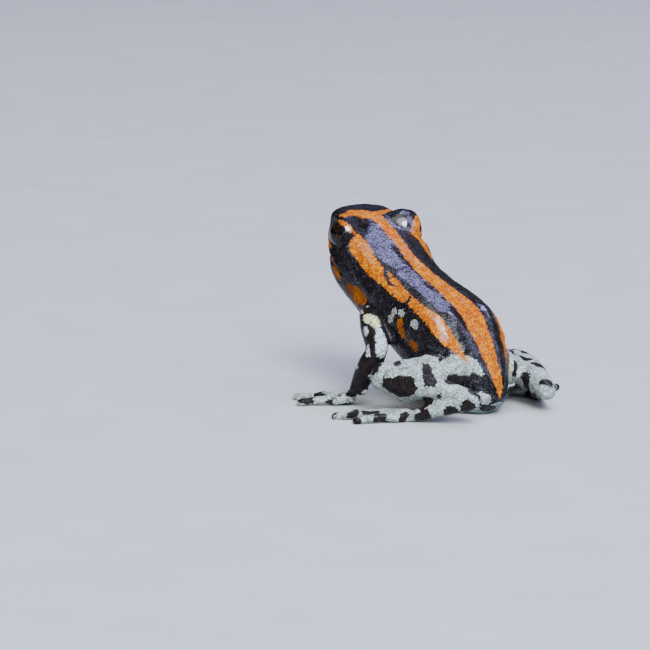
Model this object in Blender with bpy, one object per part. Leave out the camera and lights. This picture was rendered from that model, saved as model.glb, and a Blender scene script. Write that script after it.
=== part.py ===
"""Sira poison frog at rest: head raised on straight forelegs, hind legs folded at its sides.

Sizes are in millimetres, and each finished mesh is scaled to metres. The frog faces -Y, its left
side is +X, and it stands on the plane z = 0. Places are written as (left, forward, up).
"""

import math

import bmesh
import bpy
from mathutils import Matrix, Vector

MM = 0.001
GAP = 0.3  # room kept between neighbouring pieces
EYE_GAP = 0.15  # room kept round an eyeball in its socket
FLOOR_BITE = 0.04  # how far a sole reaches under the floor before its flat is cut

# Trunk stations, vent to snout: forward and up of the back line, forward and up of the belly line,
# half width, share of the height under the widest line, squareness of the section below and above.
TRUNK = [
    (-0.10, 1.05, 0.05, 0.70, 0.25, 0.50, 2.0, 2.0),
    (0.08, 1.62, 0.42, 0.36, 0.75, 0.50, 2.1, 2.3),
    (0.48, 2.62, 1.10, -0.04, 1.38, 0.50, 2.2, 2.6),
    (1.15, 3.85, 2.10, -0.06, 2.10, 0.49, 2.3, 2.9),
    (1.95, 5.02, 3.20, 0.30, 2.64, 0.48, 2.4, 3.2),
    (2.95, 5.98, 4.40, 0.95, 2.88, 0.48, 2.4, 3.3),
    (4.31, 6.72, 5.60, 1.75, 2.90, 0.48, 2.4, 3.0),
    (5.81, 7.34, 6.80, 2.60, 2.84, 0.48, 2.5, 2.6),
    (7.30, 8.00, 8.15, 3.50, 2.82, 0.47, 2.6, 2.6),
    (8.64, 8.70, 9.72, 4.48, 2.80, 0.47, 2.8, 2.45),
    (10.00, 9.39, 11.22, 5.62, 3.10, 0.46, 2.9, 2.5),
    (11.10, 9.93, 12.18, 6.60, 3.06, 0.44, 2.9, 2.6),
    (12.03, 10.38, 12.70, 7.34, 2.72, 0.46, 2.6, 3.0),
    (12.86, 10.66, 13.28, 7.97, 2.34, 0.46, 2.6, 3.0),
    (13.62, 10.80, 13.85, 8.58, 2.00, 0.46, 2.5, 2.9),
    (14.20, 10.68, 14.32, 9.15, 1.54, 0.48, 2.3, 2.6),
    (14.50, 10.34, 14.51, 9.64, 0.82, 0.50, 2.1, 2.3),
]
RINGS_PER_STATION = 3
TRUNK_SIDES = 32
NECK = 8.3  # stations along the trunk where it is parted
WAIST = 4.2

# The head is turned to the frog's right about an upright line through the nape.
NAPE_FORWARD = 8.64
HEAD_TURN = math.radians(-10.5)
TURN_START = 7.4
TURN_LENGTH = 2.6

EYE_RADIUS = 0.95
EYE_LEFT = 1.95
EYE_FORWARD = 11.75
EYE_UP = 9.38
LID_THICKNESS = 0.14
LID_TILT = math.radians(38)
LID_LEAN = 0.12  # how far the plane of the lid's edge turns to the front
LID_REACH = 0.18  # how far the lid comes out over the eye's middle

MOUTH_FRONT = (14.6, 9.20)  # forward and up of the mouth line, seen from the side
MOUTH_CORNER = (10.45, 7.12)
CORNER_STATION = 9.95
JAW_BACK = (11.4, 4.6)

NOSTRIL_RADIUS = 0.15
NOSTRIL_STATION = 14.2
NOSTRIL_ANGLE = math.radians(58)
EARDRUM_RADIUS = 0.40
EARDRUM_GROOVE = 0.08
EARDRUM_STATION = 9.6
EARDRUM_ANGLE = math.radians(68)
LIP_RADIUS = 0.17

# Forelimb places: left, forward, up.
SHOULDER = (1.30, 8.90, 5.75)
ARMPIT = (2.60, 8.30, 5.10)
ELBOW = (4.00, 6.10, 3.45)
WRIST = (4.50, 7.55, 0.88)
UPPER_ARM_RADII = [0.74, 0.78, 0.72, 0.64]
FOREARM_RADII = [0.62, 0.72, 0.68, 0.54, 0.42]
ARM_SIDES = 14

HAND_HEADING = math.radians(14)
PALM_LENGTH = 1.05
PALM_WIDTH = 0.62
# Fingers, inner to outer: angle from the hand's line, length, disc radius.
FINGERS = [
    (-50, 1.25, 0.27),
    (-20, 1.75, 0.37),
    (4, 2.45, 0.40),
    (34, 1.85, 0.37),
]
DIGIT_RADIUS = 0.25
DIGIT_ARCH = 0.16
DISC_THICKNESS = 0.22

# Hind limb joints: left, forward, up.
LEFT_HIP = (0.95, 1.60, 2.50)
RIGHT_HIP = (0.95, 1.70, 2.25)
LEFT_KNEE = (5.15, 4.20, 2.30)
RIGHT_KNEE = (5.20, 3.95, 1.95)
LEFT_HEEL = (3.05, -0.95, 1.42)
RIGHT_HEEL = (2.95, -0.85, 1.25)
LEFT_SOLE = (4.75, 1.60, 0.46)
RIGHT_SOLE = (4.85, 1.65, 0.46)
THIGH_RADII = [0.95, 1.08, 1.06, 0.97, 0.88]
SHANK_RADII = [0.84, 0.95, 0.92, 0.76, 0.60]
TARSUS_RADII = [0.56, 0.48, 0.42, 0.40]
LIMB_SIDES = 16

FOOT_HEADING = math.radians(30)
METATARSUS_LENGTH = 1.25
METATARSUS_WIDTH = 0.66
# Toes, inner to outer: angle from the foot's line, length, disc radius.
TOES = [
    (-48, 0.95, 0.26),
    (-27, 1.55, 0.28),
    (-9, 2.30, 0.30),
    (8, 3.20, 0.31),
    (30, 2.05, 0.29),
]

BLACK = (0.018, 0.017, 0.022, 1)
ORANGE = (0.85, 0.28, 0.02, 1)
PALE_GREEN = (0.52, 0.60, 0.52, 1)


def material(name, colour, roughness):
    made = bpy.data.materials.new(name)
    made.use_nodes = True
    shader = made.node_tree.nodes["Principled BSDF"]
    shader.inputs["Base Color"].default_value = colour
    shader.inputs["Roughness"].default_value = roughness
    shader.inputs["Metallic"].default_value = 0
    return made


def place(left, forward, up):
    return Vector((left, -forward, up))


def smooth_keys(keys, t):
    """The keys' values at station t, on a Catmull-Rom curve through them."""
    last = len(keys) - 1
    i = min(int(t), last - 1)
    f = t - i
    before, here, there, after = (keys[min(max(i + k, 0), last)] for k in (-1, 0, 1, 2))
    return [
        0.5 * (2 * b + (c - a) * f + (2 * a - 5 * b + 4 * c - d) * f**2 + (3 * b - a - 3 * c + d) * f**3)
        for a, b, c, d in zip(before, here, there, after)
    ]


def turned(point, forward):
    """The point carried round by the head's turn, as far as it has come at this forward distance."""
    share = min(max((forward - TURN_START) / TURN_LENGTH, 0), 1)
    angle = HEAD_TURN * share * share * (3 - 2 * share)
    pivot = place(0, NAPE_FORWARD, 0)
    return pivot + Matrix.Rotation(angle, 3, "Z") @ (point - pivot)


def in_head(left, forward, up):
    return turned(place(left, forward, up), TURN_START + TURN_LENGTH)


def trunk_point(t, angle, extra=0):
    """A point on the trunk at station t. The angle runs from the back over the left side."""
    back_f, back_u, belly_f, belly_u, half_width, low_share, low_square, high_square = smooth_keys(TRUNK, t)
    back, belly = place(0, back_f, back_u), place(0, belly_f, belly_u)
    upward = back - belly
    centre = belly + upward * low_share
    height = upward.length
    upward.normalize()
    across, rise = math.sin(angle), math.cos(angle)
    square = high_square if rise > 0 else low_square
    reach = (abs(across) ** square + abs(rise) ** square) ** (-1 / square)
    tall = height * (1 - low_share if rise > 0 else low_share) + extra
    point = centre + Vector((across * reach * (half_width + extra), 0, 0)) + upward * rise * reach * tall
    return turned(point, -centre.y)


def trunk_ring(t, extra=0):
    """One section of the trunk at station t, grown outwards by extra."""
    return [trunk_point(t, math.tau * i / TRUNK_SIDES, extra) for i in range(TRUNK_SIDES)]


def trunk_facing(t, angle):
    """The direction out of the trunk's surface at a point."""
    here = trunk_point(t, angle)
    ahead, beside = trunk_point(t + 0.02, angle) - here, trunk_point(t, angle + 0.02) - here
    return ahead.cross(beside).normalized()


def trunk_axis(t):
    """A point on the trunk's middle line at station t and the direction towards the snout."""
    step = 0.02
    here, ahead = (sum(trunk_ring(at), Vector()) / TRUNK_SIDES for at in (t, t + step))
    return here, (ahead - here).normalized()


def loft(rings):
    """A closed mesh through rings of as many points each, with a middle point in each end."""
    made = bmesh.new()
    rows = [[made.verts.new(point) for point in ring] for ring in rings]
    count = len(rings[0])
    for low, high in zip(rows, rows[1:]):
        for i in range(count):
            j = (i + 1) % count
            made.faces.new((low[i], low[j], high[j], high[i]))
    for row in (rows[0], rows[-1]):
        middle = made.verts.new(sum((v.co for v in row), Vector()) / count)
        for i in range(count):
            made.faces.new((row[i], row[(i + 1) % count], middle))
    bmesh.ops.recalc_face_normals(made, faces=made.faces)
    return made


def limb_ring(centre, along, upward, width, thickness, sides):
    across = along.cross(upward).normalized()
    rise = across.cross(along).normalized()
    turns = [math.tau * i / sides for i in range(sides)]
    return [centre + across * width * math.sin(a) + rise * thickness * math.cos(a) for a in turns]


def tube(points, sizes, sides, upward=Vector((0, 0, 1)), round_start=True, round_end=True):
    """A closed tube through the points. sizes holds a width and a thickness for each, as half sizes."""
    rings = []
    last = len(points) - 1
    for i, (point, (width, thickness)) in enumerate(zip(points, sizes)):
        along = (points[min(i + 1, last)] - points[max(i - 1, 0)]).normalized()
        domes = []
        if (i == 0 and round_start) or (i == last and round_end):
            domes = [math.radians(a) for a in (68, 42, 20)]
        outward = -along if i == 0 else along
        dome = []
        for a in domes:
            middle = point + outward * thickness * math.sin(a)
            dome.append(limb_ring(middle, along, upward, width * math.cos(a), thickness * math.cos(a), sides))
        body = limb_ring(point, along, upward, width, thickness, sides)
        rings += dome + [body] if i == 0 else [body] + dome[::-1]
    return loft(rings)


def ball(centre, radius, sides=18, squash=(1, 1, 1), turn=0.0):
    made = bmesh.new()
    bmesh.ops.create_uvsphere(made, u_segments=sides, v_segments=sides // 2 + 2, radius=radius)
    matrix = Matrix.Translation(centre) @ Matrix.Rotation(turn, 4, "Z") @ Matrix.Diagonal((*squash, 1))
    bmesh.ops.transform(made, matrix=matrix, verts=made.verts)
    return made


def as_object(made, name):
    mesh = bpy.data.meshes.new(name)
    made.to_mesh(mesh)
    made.free()
    thing = bpy.data.objects.new(name, mesh)
    bpy.context.scene.collection.objects.link(thing)
    return thing


def boolean(target, pieces, operation):
    """Joins the pieces to the target, or cuts them from it, and removes them."""
    if not pieces:
        return target
    group = bpy.data.collections.new("pieces")
    bpy.context.scene.collection.children.link(group)
    for piece in pieces:
        bpy.context.scene.collection.objects.unlink(piece)
        group.objects.link(piece)
    modifier = target.modifiers.new("pieces", "BOOLEAN")
    modifier.operation = operation
    modifier.operand_type = "COLLECTION"
    modifier.collection = group
    modifier.solver = "EXACT"
    graph = bpy.context.evaluated_depsgraph_get()
    result = bpy.data.meshes.new_from_object(target.evaluated_get(graph))
    target.modifiers.clear()
    target.data = result
    for piece in pieces:
        bpy.data.objects.remove(piece)
    bpy.data.collections.remove(group)
    return target


def cut_off(target, point, normal):
    """Removes what lies past a plane, on the side its normal points to, and closes the cut."""
    made = bmesh.new()
    made.from_mesh(target.data)
    everything = made.verts[:] + made.edges[:] + made.faces[:]
    bmesh.ops.bisect_plane(
        made, geom=everything, dist=1e-5, plane_co=point, plane_no=normal, clear_outer=True
    )
    rim = [edge for edge in made.edges if edge.is_boundary]
    bmesh.ops.holes_fill(made, edges=rim, sides=0)
    bmesh.ops.recalc_face_normals(made, faces=made.faces)
    made.to_mesh(target.data)
    made.free()
    return target


def volume(faces):
    total = 0
    for face in faces:
        corners = [v.co for v in face.verts]
        for b, c in zip(corners[1:], corners[2:]):
            total += corners[0].dot(b.cross(c)) / 6
    return abs(total)


def keep_largest(target):
    """Keeps only the largest closed surface of a mesh."""
    made = bmesh.new()
    made.from_mesh(target.data)
    left = set(made.faces)
    shells = []
    while left:
        stack = [left.pop()]
        shell = set(stack)
        while stack:
            for edge in stack.pop().edges:
                new = [face for face in edge.link_faces if face in left]
                left.difference_update(new)
                shell.update(new)
                stack += new
        shells.append(shell)
    shells.sort(key=volume)
    loose = [face for shell in shells[:-1] for face in shell]
    bmesh.ops.delete(made, geom=loose, context="FACES")
    bmesh.ops.remove_doubles(made, verts=made.verts, dist=1e-4)
    bmesh.ops.triangulate(made, faces=[face for face in made.faces if len(face.verts) > 4])
    made.to_mesh(target.data)
    made.free()
    return target


def stand_flat(target):
    """Cuts the flat on which a sole rests on the floor."""
    return cut_off(target, Vector((0, 0, 0)), Vector((0, 0, -1)))


def trunk_solid(name, extra=0.0):
    last = len(TRUNK) - 1
    count = last * RINGS_PER_STATION
    return as_object(loft([trunk_ring(last * i / count, extra) for i in range(count + 1)]), name)


def trunk_piece(name, start=None, end=None):
    """The trunk between two stations, parted by flat cuts."""
    made = trunk_solid(name)
    if start is not None:
        point, along = trunk_axis(start)
        cut_off(made, point + along * GAP / 2, -along)
    if end is not None:
        point, along = trunk_axis(end)
        cut_off(made, point - along * GAP / 2, along)
    return made


def prism(outline, half_width, name):
    """A block with an outline seen from the side, in forward and up, turned with the head."""
    made = bmesh.new()
    sides = [[made.verts.new(in_head(left, f, u)) for f, u in outline] for left in (-half_width, half_width)]
    made.faces.new(sides[0])
    made.faces.new(sides[1][::-1])
    for i in range(len(outline)):
        j = (i + 1) % len(outline)
        made.faces.new((sides[0][i], sides[0][j], sides[1][j], sides[1][i]))
    bmesh.ops.recalc_face_normals(made, faces=made.faces)
    return as_object(made, name)


def eye_centre(side):
    return in_head(side * EYE_LEFT, EYE_FORWARD, EYE_UP)


def lid_dome(side):
    """The raised upper lid: a ball over the eye, cut off along the edge of the lid."""
    made = as_object(ball(eye_centre(side), EYE_RADIUS + EYE_GAP + LID_THICKNESS, 20), "lid")
    outward = Vector((side * math.cos(LID_TILT), -LID_LEAN, -math.sin(LID_TILT)))
    outward = Matrix.Rotation(HEAD_TURN, 3, "Z") @ outward
    return cut_off(made, eye_centre(side) + outward * LID_REACH, outward)


def eardrum_groove(side):
    """A ring-shaped cutter that leaves the eardrum standing as a round disc."""
    made = bmesh.new()
    centre = trunk_point(EARDRUM_STATION, EARDRUM_ANGLE * side)
    facing = trunk_facing(EARDRUM_STATION, EARDRUM_ANGLE * side)
    across = facing.orthogonal().normalized()
    upward = facing.cross(across)
    around, section = 16, 6
    rows = []
    for i in range(around):
        a = math.tau * i / around
        out = across * math.cos(a) + upward * math.sin(a)
        row = []
        for j in range(section):
            b = math.tau * j / section
            reach = EARDRUM_RADIUS + EARDRUM_GROOVE * math.cos(b)
            row.append(made.verts.new(centre + out * reach + facing * 2 * EARDRUM_GROOVE * math.sin(b)))
        rows.append(row)
    for here, there in zip(rows, rows[1:] + rows[:1]):
        for j in range(section):
            k = (j + 1) % section
            made.faces.new((here[j], here[k], there[k], there[j]))
    bmesh.ops.recalc_face_normals(made, faces=made.faces)
    return as_object(made, "eardrum_groove")


def over_mouth(point):
    """How far a point of the head lies over the mouth's line."""
    line = in_head(0, *MOUTH_FRONT) - in_head(0, *MOUTH_CORNER)
    normal = line.cross(Matrix.Rotation(HEAD_TURN, 3, "Z") @ Vector((1, 0, 0))).normalized()
    return (point - in_head(0, *MOUTH_CORNER)).dot(normal)


def lip_side(side, level):
    """Points along one side of a lip, corner to front, at a level over the mouth's line."""
    points = []
    t = CORNER_STATION
    while t < len(TRUNK) - 1 and over_mouth(trunk_point(t, math.pi)) < level:
        above, below = math.pi / 3, math.pi
        for _ in range(20):
            middle = (above + below) / 2
            if over_mouth(trunk_point(t, middle * side)) > level:
                above = middle
            else:
                below = middle
        points.append(trunk_point(t, above * side, -LIP_RADIUS * 0.55))
        t += 0.25
    return points


def lip(name, level):
    """A lip as a low ridge that follows the mouth round the snout."""
    points = lip_side(1, level) + lip_side(-1, level)[::-1]
    return as_object(tube(points, [(LIP_RADIUS, LIP_RADIUS)] * len(points), 8), name)


def build_head():
    """The head with its lids and upper lip, and the lower jaw, parted along the mouth."""
    under = [MOUTH_FRONT, MOUTH_CORNER, JAW_BACK, (MOUTH_FRONT[0], JAW_BACK[1])]
    wider = [
        (MOUTH_FRONT[0], MOUTH_FRONT[1] + GAP),
        (MOUTH_CORNER[0] - GAP * 0.7, MOUTH_CORNER[1] + GAP * 0.8),
        (JAW_BACK[0] - GAP, JAW_BACK[1]),
        (MOUTH_FRONT[0], JAW_BACK[1]),
    ]
    head = trunk_piece("head", start=NECK)
    boolean(head, [lid_dome(1), lid_dome(-1), lip("upper_lip", GAP + LIP_RADIUS)], "UNION")
    cutters = [prism(wider, 4, "mouth")]
    for side in (1, -1):
        cutters.append(as_object(ball(eye_centre(side), EYE_RADIUS + EYE_GAP, 20), "socket"))
        nostril = trunk_point(NOSTRIL_STATION, NOSTRIL_ANGLE * side)
        cutters.append(as_object(ball(nostril, NOSTRIL_RADIUS, 8), "nostril"))
        cutters.append(eardrum_groove(side))
    boolean(head, cutters, "DIFFERENCE")
    jaw = trunk_piece("lower_jaw", start=NECK)
    boolean(jaw, [prism(under, 4, "jaw_outline")], "INTERSECT")
    return [keep_largest(head), keep_largest(jaw)]


def build_trunk():
    torso = trunk_piece("torso", start=WAIST, end=NECK)
    rump = stand_flat(trunk_piece("rump", end=WAIST))
    return [keep_largest(torso), keep_largest(rump)]


def build_eye(side, word):
    return as_object(ball(eye_centre(side), EYE_RADIUS, 20), f"eye_{word}")


def mirrored(point, side):
    return Vector((point.x * side, point.y, point.z))


def bone(start, end, radii):
    """Points and sizes for a straight limb piece with a swelling."""
    last = len(radii) - 1
    points = [start.lerp(end, i / last) for i in range(last + 1)]
    return points, [(radius, radius) for radius in radii]


def fold_cut(target, joint, own_end, other_end):
    """Cuts a folded limb piece back from the plane that halves the angle at its joint."""
    own, other = (own_end - joint).normalized(), (other_end - joint).normalized()
    normal = (other - own).normalized()
    return cut_off(target, joint - normal * GAP / 2, normal)


def build_arm(side, word):
    """Upper arm and forearm, parted at the elbow."""
    shoulder, armpit, elbow, wrist = (mirrored(place(*at), side) for at in (SHOULDER, ARMPIT, ELBOW, WRIST))
    points, sizes = bone(armpit, elbow, UPPER_ARM_RADII)
    upper_arm = as_object(tube([shoulder] + points, sizes[:1] + sizes, ARM_SIDES), f"upper_arm_{word}")
    lower = tube(*bone(elbow, wrist, FOREARM_RADII), ARM_SIDES, round_end=False)
    forearm = as_object(lower, f"forearm_{word}")
    fold_cut(upper_arm, elbow, armpit, wrist)
    fold_cut(forearm, elbow, wrist, armpit)
    boolean(upper_arm, [trunk_solid("chest", GAP)], "DIFFERENCE")
    return [keep_largest(upper_arm), keep_largest(forearm)]


def heading_of(angle, side):
    return Vector((math.sin(angle) * side, -math.cos(angle), 0))


def digit(root, knuckle, angle, length, disc, side):
    """One finger or toe from inside the palm, arched a little, with its disc, as pieces to join."""
    along = heading_of(angle, side)
    low = DIGIT_RADIUS - FLOOR_BITE
    points = [root]
    for share, rise in ((0, 0.6), (0.3, 1.0), (0.65, 0.6), (1, 0)):
        points.append(knuckle + along * length * share)
        points[-1].z = low + DIGIT_ARCH * rise
    sizes = [(DIGIT_RADIUS * swell, DIGIT_RADIUS * swell) for swell in (1.1, 1.1, 0.95, 1.0, 0.9)]
    stalk = as_object(tube(points, sizes, 8), "digit")
    centre = knuckle + along * (length + disc * 0.45)
    centre.z = DISC_THICKNESS - FLOOR_BITE
    pad = ball(centre, disc, 12, (1, 0.95, DISC_THICKNESS / disc), turn=-angle * side)
    return [stalk, as_object(pad, "disc")]


def build_paw(name, start, root_radius, heading, length, width, digits, side):
    """A hand or foot: a flat palm from the limb's end, and the digits that spread from it."""
    along, across = heading_of(heading, side), heading_of(heading + math.pi / 2, side)
    front = start + along * length
    front.z = 0.28
    middle = start.lerp(front, 0.55)
    middle.z = 0.36
    thickness = (root_radius, root_radius * 0.9, 0.36, 0.30)
    sizes = list(zip((root_radius, root_radius, width * 0.8, width), thickness))
    points = [start, start.lerp(middle, 0.5), middle, front]
    palm = as_object(tube(points, sizes, 14, round_start=False), name)
    pieces = []
    for i, (angle, reach, disc) in enumerate(digits):
        share = 2 * i / (len(digits) - 1) - 1
        knuckle = front + across * share * width * 0.85 - along * (abs(share) - 0.3) * 0.35
        pieces += digit(start.lerp(knuckle, 0.55), knuckle, heading + math.radians(angle), reach, disc, side)
    boolean(palm, pieces, "UNION")
    return keep_largest(stand_flat(palm))


def build_hand(side, word):
    elbow, wrist = (mirrored(place(*at), side) for at in (ELBOW, WRIST))
    start = wrist + (wrist - elbow).normalized() * GAP
    return build_paw(
        f"hand_{word}", start, FOREARM_RADII[-1], HAND_HEADING, PALM_LENGTH, PALM_WIDTH, FINGERS, side
    )


def build_leg(side, word, joints):
    """Thigh, shank, tarsus and foot, folded on one another."""
    hip, knee, heel, sole = (mirrored(place(*joint), side) for joint in joints)
    thigh = as_object(tube(*bone(hip, knee, THIGH_RADII), LIMB_SIDES), f"thigh_{word}")
    shank = as_object(tube(*bone(knee, heel, SHANK_RADII), LIMB_SIDES), f"shank_{word}")
    tarsus = as_object(tube(*bone(heel, sole, TARSUS_RADII), 12, round_end=False), f"tarsus_{word}")
    fold_cut(thigh, knee, hip, heel)
    fold_cut(shank, knee, heel, hip)
    fold_cut(shank, heel, knee, sole)
    fold_cut(tarsus, heel, sole, knee)
    boolean(thigh, [trunk_solid("trunk", GAP)], "DIFFERENCE")
    start = sole + (sole - heel).normalized() * GAP
    length, width = METATARSUS_LENGTH, METATARSUS_WIDTH
    foot = build_paw(f"foot_{word}", start, TARSUS_RADII[-1], FOOT_HEADING, length, width, TOES, side)
    return [keep_largest(piece) for piece in (thigh, shank, stand_flat(tarsus))] + [foot]


def finish(piece, skin, shift):
    """Moves a piece over the model's own middle, scales it to metres, and gives it its material."""
    piece.data.transform(Matrix.Scale(MM, 4) @ Matrix.Translation(-shift))
    piece.data.materials.clear()
    piece.data.materials.append(skin)
    piece.data.shade_smooth()
    piece.data.set_sharp_from_angle(angle=math.radians(50))


def main():
    for thing in list(bpy.data.objects):
        bpy.data.objects.remove(thing)
    black = material("black_skin", BLACK, 0.3)
    pale = material("pale_leg_skin", PALE_GREEN, 0.35)
    eye = material("eye", (0.01, 0.01, 0.01, 1), 0.05)
    made = [(piece, black) for piece in build_head() + build_trunk()]
    left_leg = (LEFT_HIP, LEFT_KNEE, LEFT_HEEL, LEFT_SOLE)
    right_leg = (RIGHT_HIP, RIGHT_KNEE, RIGHT_HEEL, RIGHT_SOLE)
    for side, word, leg in ((1, "left", left_leg), (-1, "right", right_leg)):
        made.append((build_eye(side, word), eye))
        limbs = build_arm(side, word) + [build_hand(side, word)] + build_leg(side, word, leg)
        made += [(piece, pale) for piece in limbs]
    corners = [v.co for piece, _ in made for v in piece.data.vertices]
    low = Vector([min(c[i] for c in corners) for i in range(3)])
    high = Vector([max(c[i] for c in corners) for i in range(3)])
    shift = (low + high) / 2
    shift.z = 0
    for piece, skin in made:
        finish(piece, skin, shift)


main()
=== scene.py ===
"""Sira poison frog: one wet granular skin with orange stripes and spotted limbs, and dark eyes.

Shapes are worked out in millimetres in the frog's own places: x to its left, y behind it, z up,
with the vent over the origin. A finished piece is moved and scaled into the model's frame.
"""

import itertools
import math

import bmesh
import bpy
import numpy as np
from mathutils import Matrix, Vector
from mathutils.bvhtree import BVHTree


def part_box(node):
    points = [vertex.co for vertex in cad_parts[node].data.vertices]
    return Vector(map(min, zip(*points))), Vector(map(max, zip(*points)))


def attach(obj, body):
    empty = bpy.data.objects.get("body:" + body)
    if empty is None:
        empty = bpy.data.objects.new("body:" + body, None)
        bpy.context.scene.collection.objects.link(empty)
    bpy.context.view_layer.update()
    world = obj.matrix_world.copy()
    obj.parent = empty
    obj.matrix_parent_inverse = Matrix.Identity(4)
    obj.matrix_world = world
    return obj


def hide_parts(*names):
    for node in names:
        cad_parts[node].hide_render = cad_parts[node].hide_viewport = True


bl_info = {
    "name": "Sira Poison Frog",
    "version": (1, 0, 0),
    "blender": (4, 5, 0),
    "location": "View3D > Sidebar > Poison Frog",
    "description": "Builds the skin, eyes and studio of a life-size striped poison frog",
    "category": "Add Mesh",
}

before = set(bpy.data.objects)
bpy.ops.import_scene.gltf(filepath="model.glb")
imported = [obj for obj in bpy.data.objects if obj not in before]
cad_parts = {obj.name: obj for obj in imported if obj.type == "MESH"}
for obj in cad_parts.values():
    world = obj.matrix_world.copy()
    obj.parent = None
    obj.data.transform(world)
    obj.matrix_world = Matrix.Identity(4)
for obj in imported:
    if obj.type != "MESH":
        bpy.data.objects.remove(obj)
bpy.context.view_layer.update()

MM = 0.001
SIDES = {"left": 1, "right": -1}
TRUNK_NODES = ["head", "lower_jaw", "torso", "rump"]
LIMB_NODES = [
    f"{part}_{word}"
    for word in SIDES
    for part in ("upper_arm", "forearm", "hand", "thigh", "shank", "tarsus", "foot")
]

# Trunk stations, vent to snout: forward and up of the back line, forward and up of the belly line,
# half width, share of the height under the widest line, squareness of the section below and above.
TRUNK = np.array(
    [
        (-0.10, 1.05, 0.05, 0.70, 0.25, 0.50, 2.0, 2.0),
        (0.08, 1.62, 0.42, 0.36, 0.75, 0.50, 2.1, 2.3),
        (0.48, 2.62, 1.10, -0.04, 1.38, 0.50, 2.2, 2.6),
        (1.15, 3.85, 2.10, -0.06, 2.10, 0.49, 2.3, 2.9),
        (1.95, 5.02, 3.20, 0.30, 2.64, 0.48, 2.4, 3.2),
        (2.95, 5.98, 4.40, 0.95, 2.88, 0.48, 2.4, 3.3),
        (4.31, 6.72, 5.60, 1.75, 2.90, 0.48, 2.4, 3.0),
        (5.81, 7.34, 6.80, 2.60, 2.84, 0.48, 2.5, 2.6),
        (7.30, 8.00, 8.15, 3.50, 2.82, 0.47, 2.6, 2.6),
        (8.64, 8.70, 9.72, 4.48, 2.80, 0.47, 2.8, 2.45),
        (10.00, 9.39, 11.22, 5.62, 3.10, 0.46, 2.9, 2.5),
        (11.10, 9.93, 12.18, 6.60, 3.06, 0.44, 2.9, 2.6),
        (12.03, 10.38, 12.70, 7.34, 2.72, 0.46, 2.6, 3.0),
        (12.86, 10.66, 13.28, 7.97, 2.34, 0.46, 2.6, 3.0),
        (13.62, 10.80, 13.85, 8.58, 2.00, 0.46, 2.5, 2.9),
        (14.20, 10.68, 14.32, 9.15, 1.54, 0.48, 2.3, 2.6),
        (14.50, 10.34, 14.51, 9.64, 0.82, 0.50, 2.1, 2.3),
    ]
)
BACK_FORWARD, BACK_UP, BELLY_FORWARD, BELLY_UP, HALF_WIDTH, LOW_SHARE, SQUARE_BELOW, SQUARE_ABOVE = range(8)
LAST_STATION = len(TRUNK) - 1
NAPE_STATION = 9
# Ahead of the nape the head turns to the frog's right, over a stretch of the neck.
NAPE_FORWARD = 8.64
HEAD_TURN = math.radians(-10.5)
TURN_START = 7.4
TURN_LENGTH = 2.6

# The left eye as left, forward, up, and the mouth's line as forward, up.
EYE_PLACE = (1.95, 11.75, 9.38)
MOUTH_FRONT = (14.6, 9.20)
MOUTH_CORNER = (10.45, 7.12)
# The mouth's line runs this far above the straight one from its corner to its front.
MOUTH_RISE = 0.14
# Station on the trunk, and degrees from the back over the side.
NOSTRIL = (14.2, 58)
EARDRUM = (9.6, 68)
EARDRUM_RADIUS = 0.40

# Joints of the limbs as outward, forward, up: shoulder to wrist, and hip to ankle on either side.
ARM = [(2.60, 8.30, 5.10), (4.00, 6.10, 3.45), (4.50, 7.55, 0.88)]
ARM_RADII = [0.74, 0.66]
LEGS = {
    "left": [(0.95, 1.60, 2.50), (5.15, 4.20, 2.30), (3.05, -0.95, 1.42), (4.75, 1.60, 0.46)],
    "right": [(0.95, 1.70, 2.25), (5.20, 3.95, 1.95), (2.95, -0.85, 1.25), (4.85, 1.65, 0.46)],
}
LEG_RADII = [1.0, 0.88, 0.50]
# Each digit's angle, length and disc radius.
FINGERS = [(-50, 1.25, 0.27), (-20, 1.75, 0.37), (4, 2.45, 0.40), (34, 1.85, 0.37)]
TOES = [(-48, 0.95, 0.26), (-27, 1.55, 0.28), (-9, 2.30, 0.30), (8, 3.20, 0.31), (30, 2.05, 0.29)]
# Heading, length and half width of the palm or sole, and its digits.
HAND = (14, 1.05, 0.62, FINGERS)
FOOT = (30, 1.25, 0.66, TOES)
# Heights of the palm's front and of the digits.
PALM_HEIGHT = 0.28
DIGIT_HEIGHT = 0.15
# Width of the cuts between the nodes.
CUT = 0.3

# The photograph's view of the frog: degrees from its front over its left, and degrees up.
VIEW_AZIMUTH = 140
VIEW_ELEVATION = 10
PIXELS_PER_MM = 17.3
VENT_PIXEL = (499.0, 416.0)
PICTURE = 650
VIEW_DISTANCE = 200.0

# Points that are worked on together, so that their tables of distances stay small.
BATCH = 4000


def place(left, forward, up):
    """A place, or a way, in the frog's own axes."""
    return Vector((left, -forward, up))


def rotation_z(angle):
    return Matrix.Rotation(angle, 3, "Z")


def in_head(left, forward, up):
    """A place that turns with the head."""
    pivot = place(0, NAPE_FORWARD, 0)
    return pivot + rotation_z(HEAD_TURN) @ (place(left, forward, up) - pivot)


def head_way(left, forward, up):
    """A direction in the turned head."""
    return (rotation_z(HEAD_TURN) @ place(left, forward, up)).normalized()


def frame_shift():
    """From the frog's own places to the model's frame, in millimetres, as the left eye shows it."""
    low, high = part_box("eye_left")
    return in_head(*EYE_PLACE) - (Vector(low) + Vector(high)) / (2 * MM)


SHIFT = frame_shift()


def direction(azimuth, elevation):
    """The way out to an azimuth from the frog's front over its left, and an elevation, in degrees."""
    a, e = math.radians(azimuth), math.radians(elevation)
    return Vector((math.sin(a) * math.cos(e), -math.cos(a) * math.cos(e), math.sin(e)))


def view_axes():
    """Right, up and backward of the photograph's camera."""
    back = direction(VIEW_AZIMUTH, VIEW_ELEVATION)
    right = Vector((0, 0, 1)).cross(back).normalized()
    return right, back.cross(right), back


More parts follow.
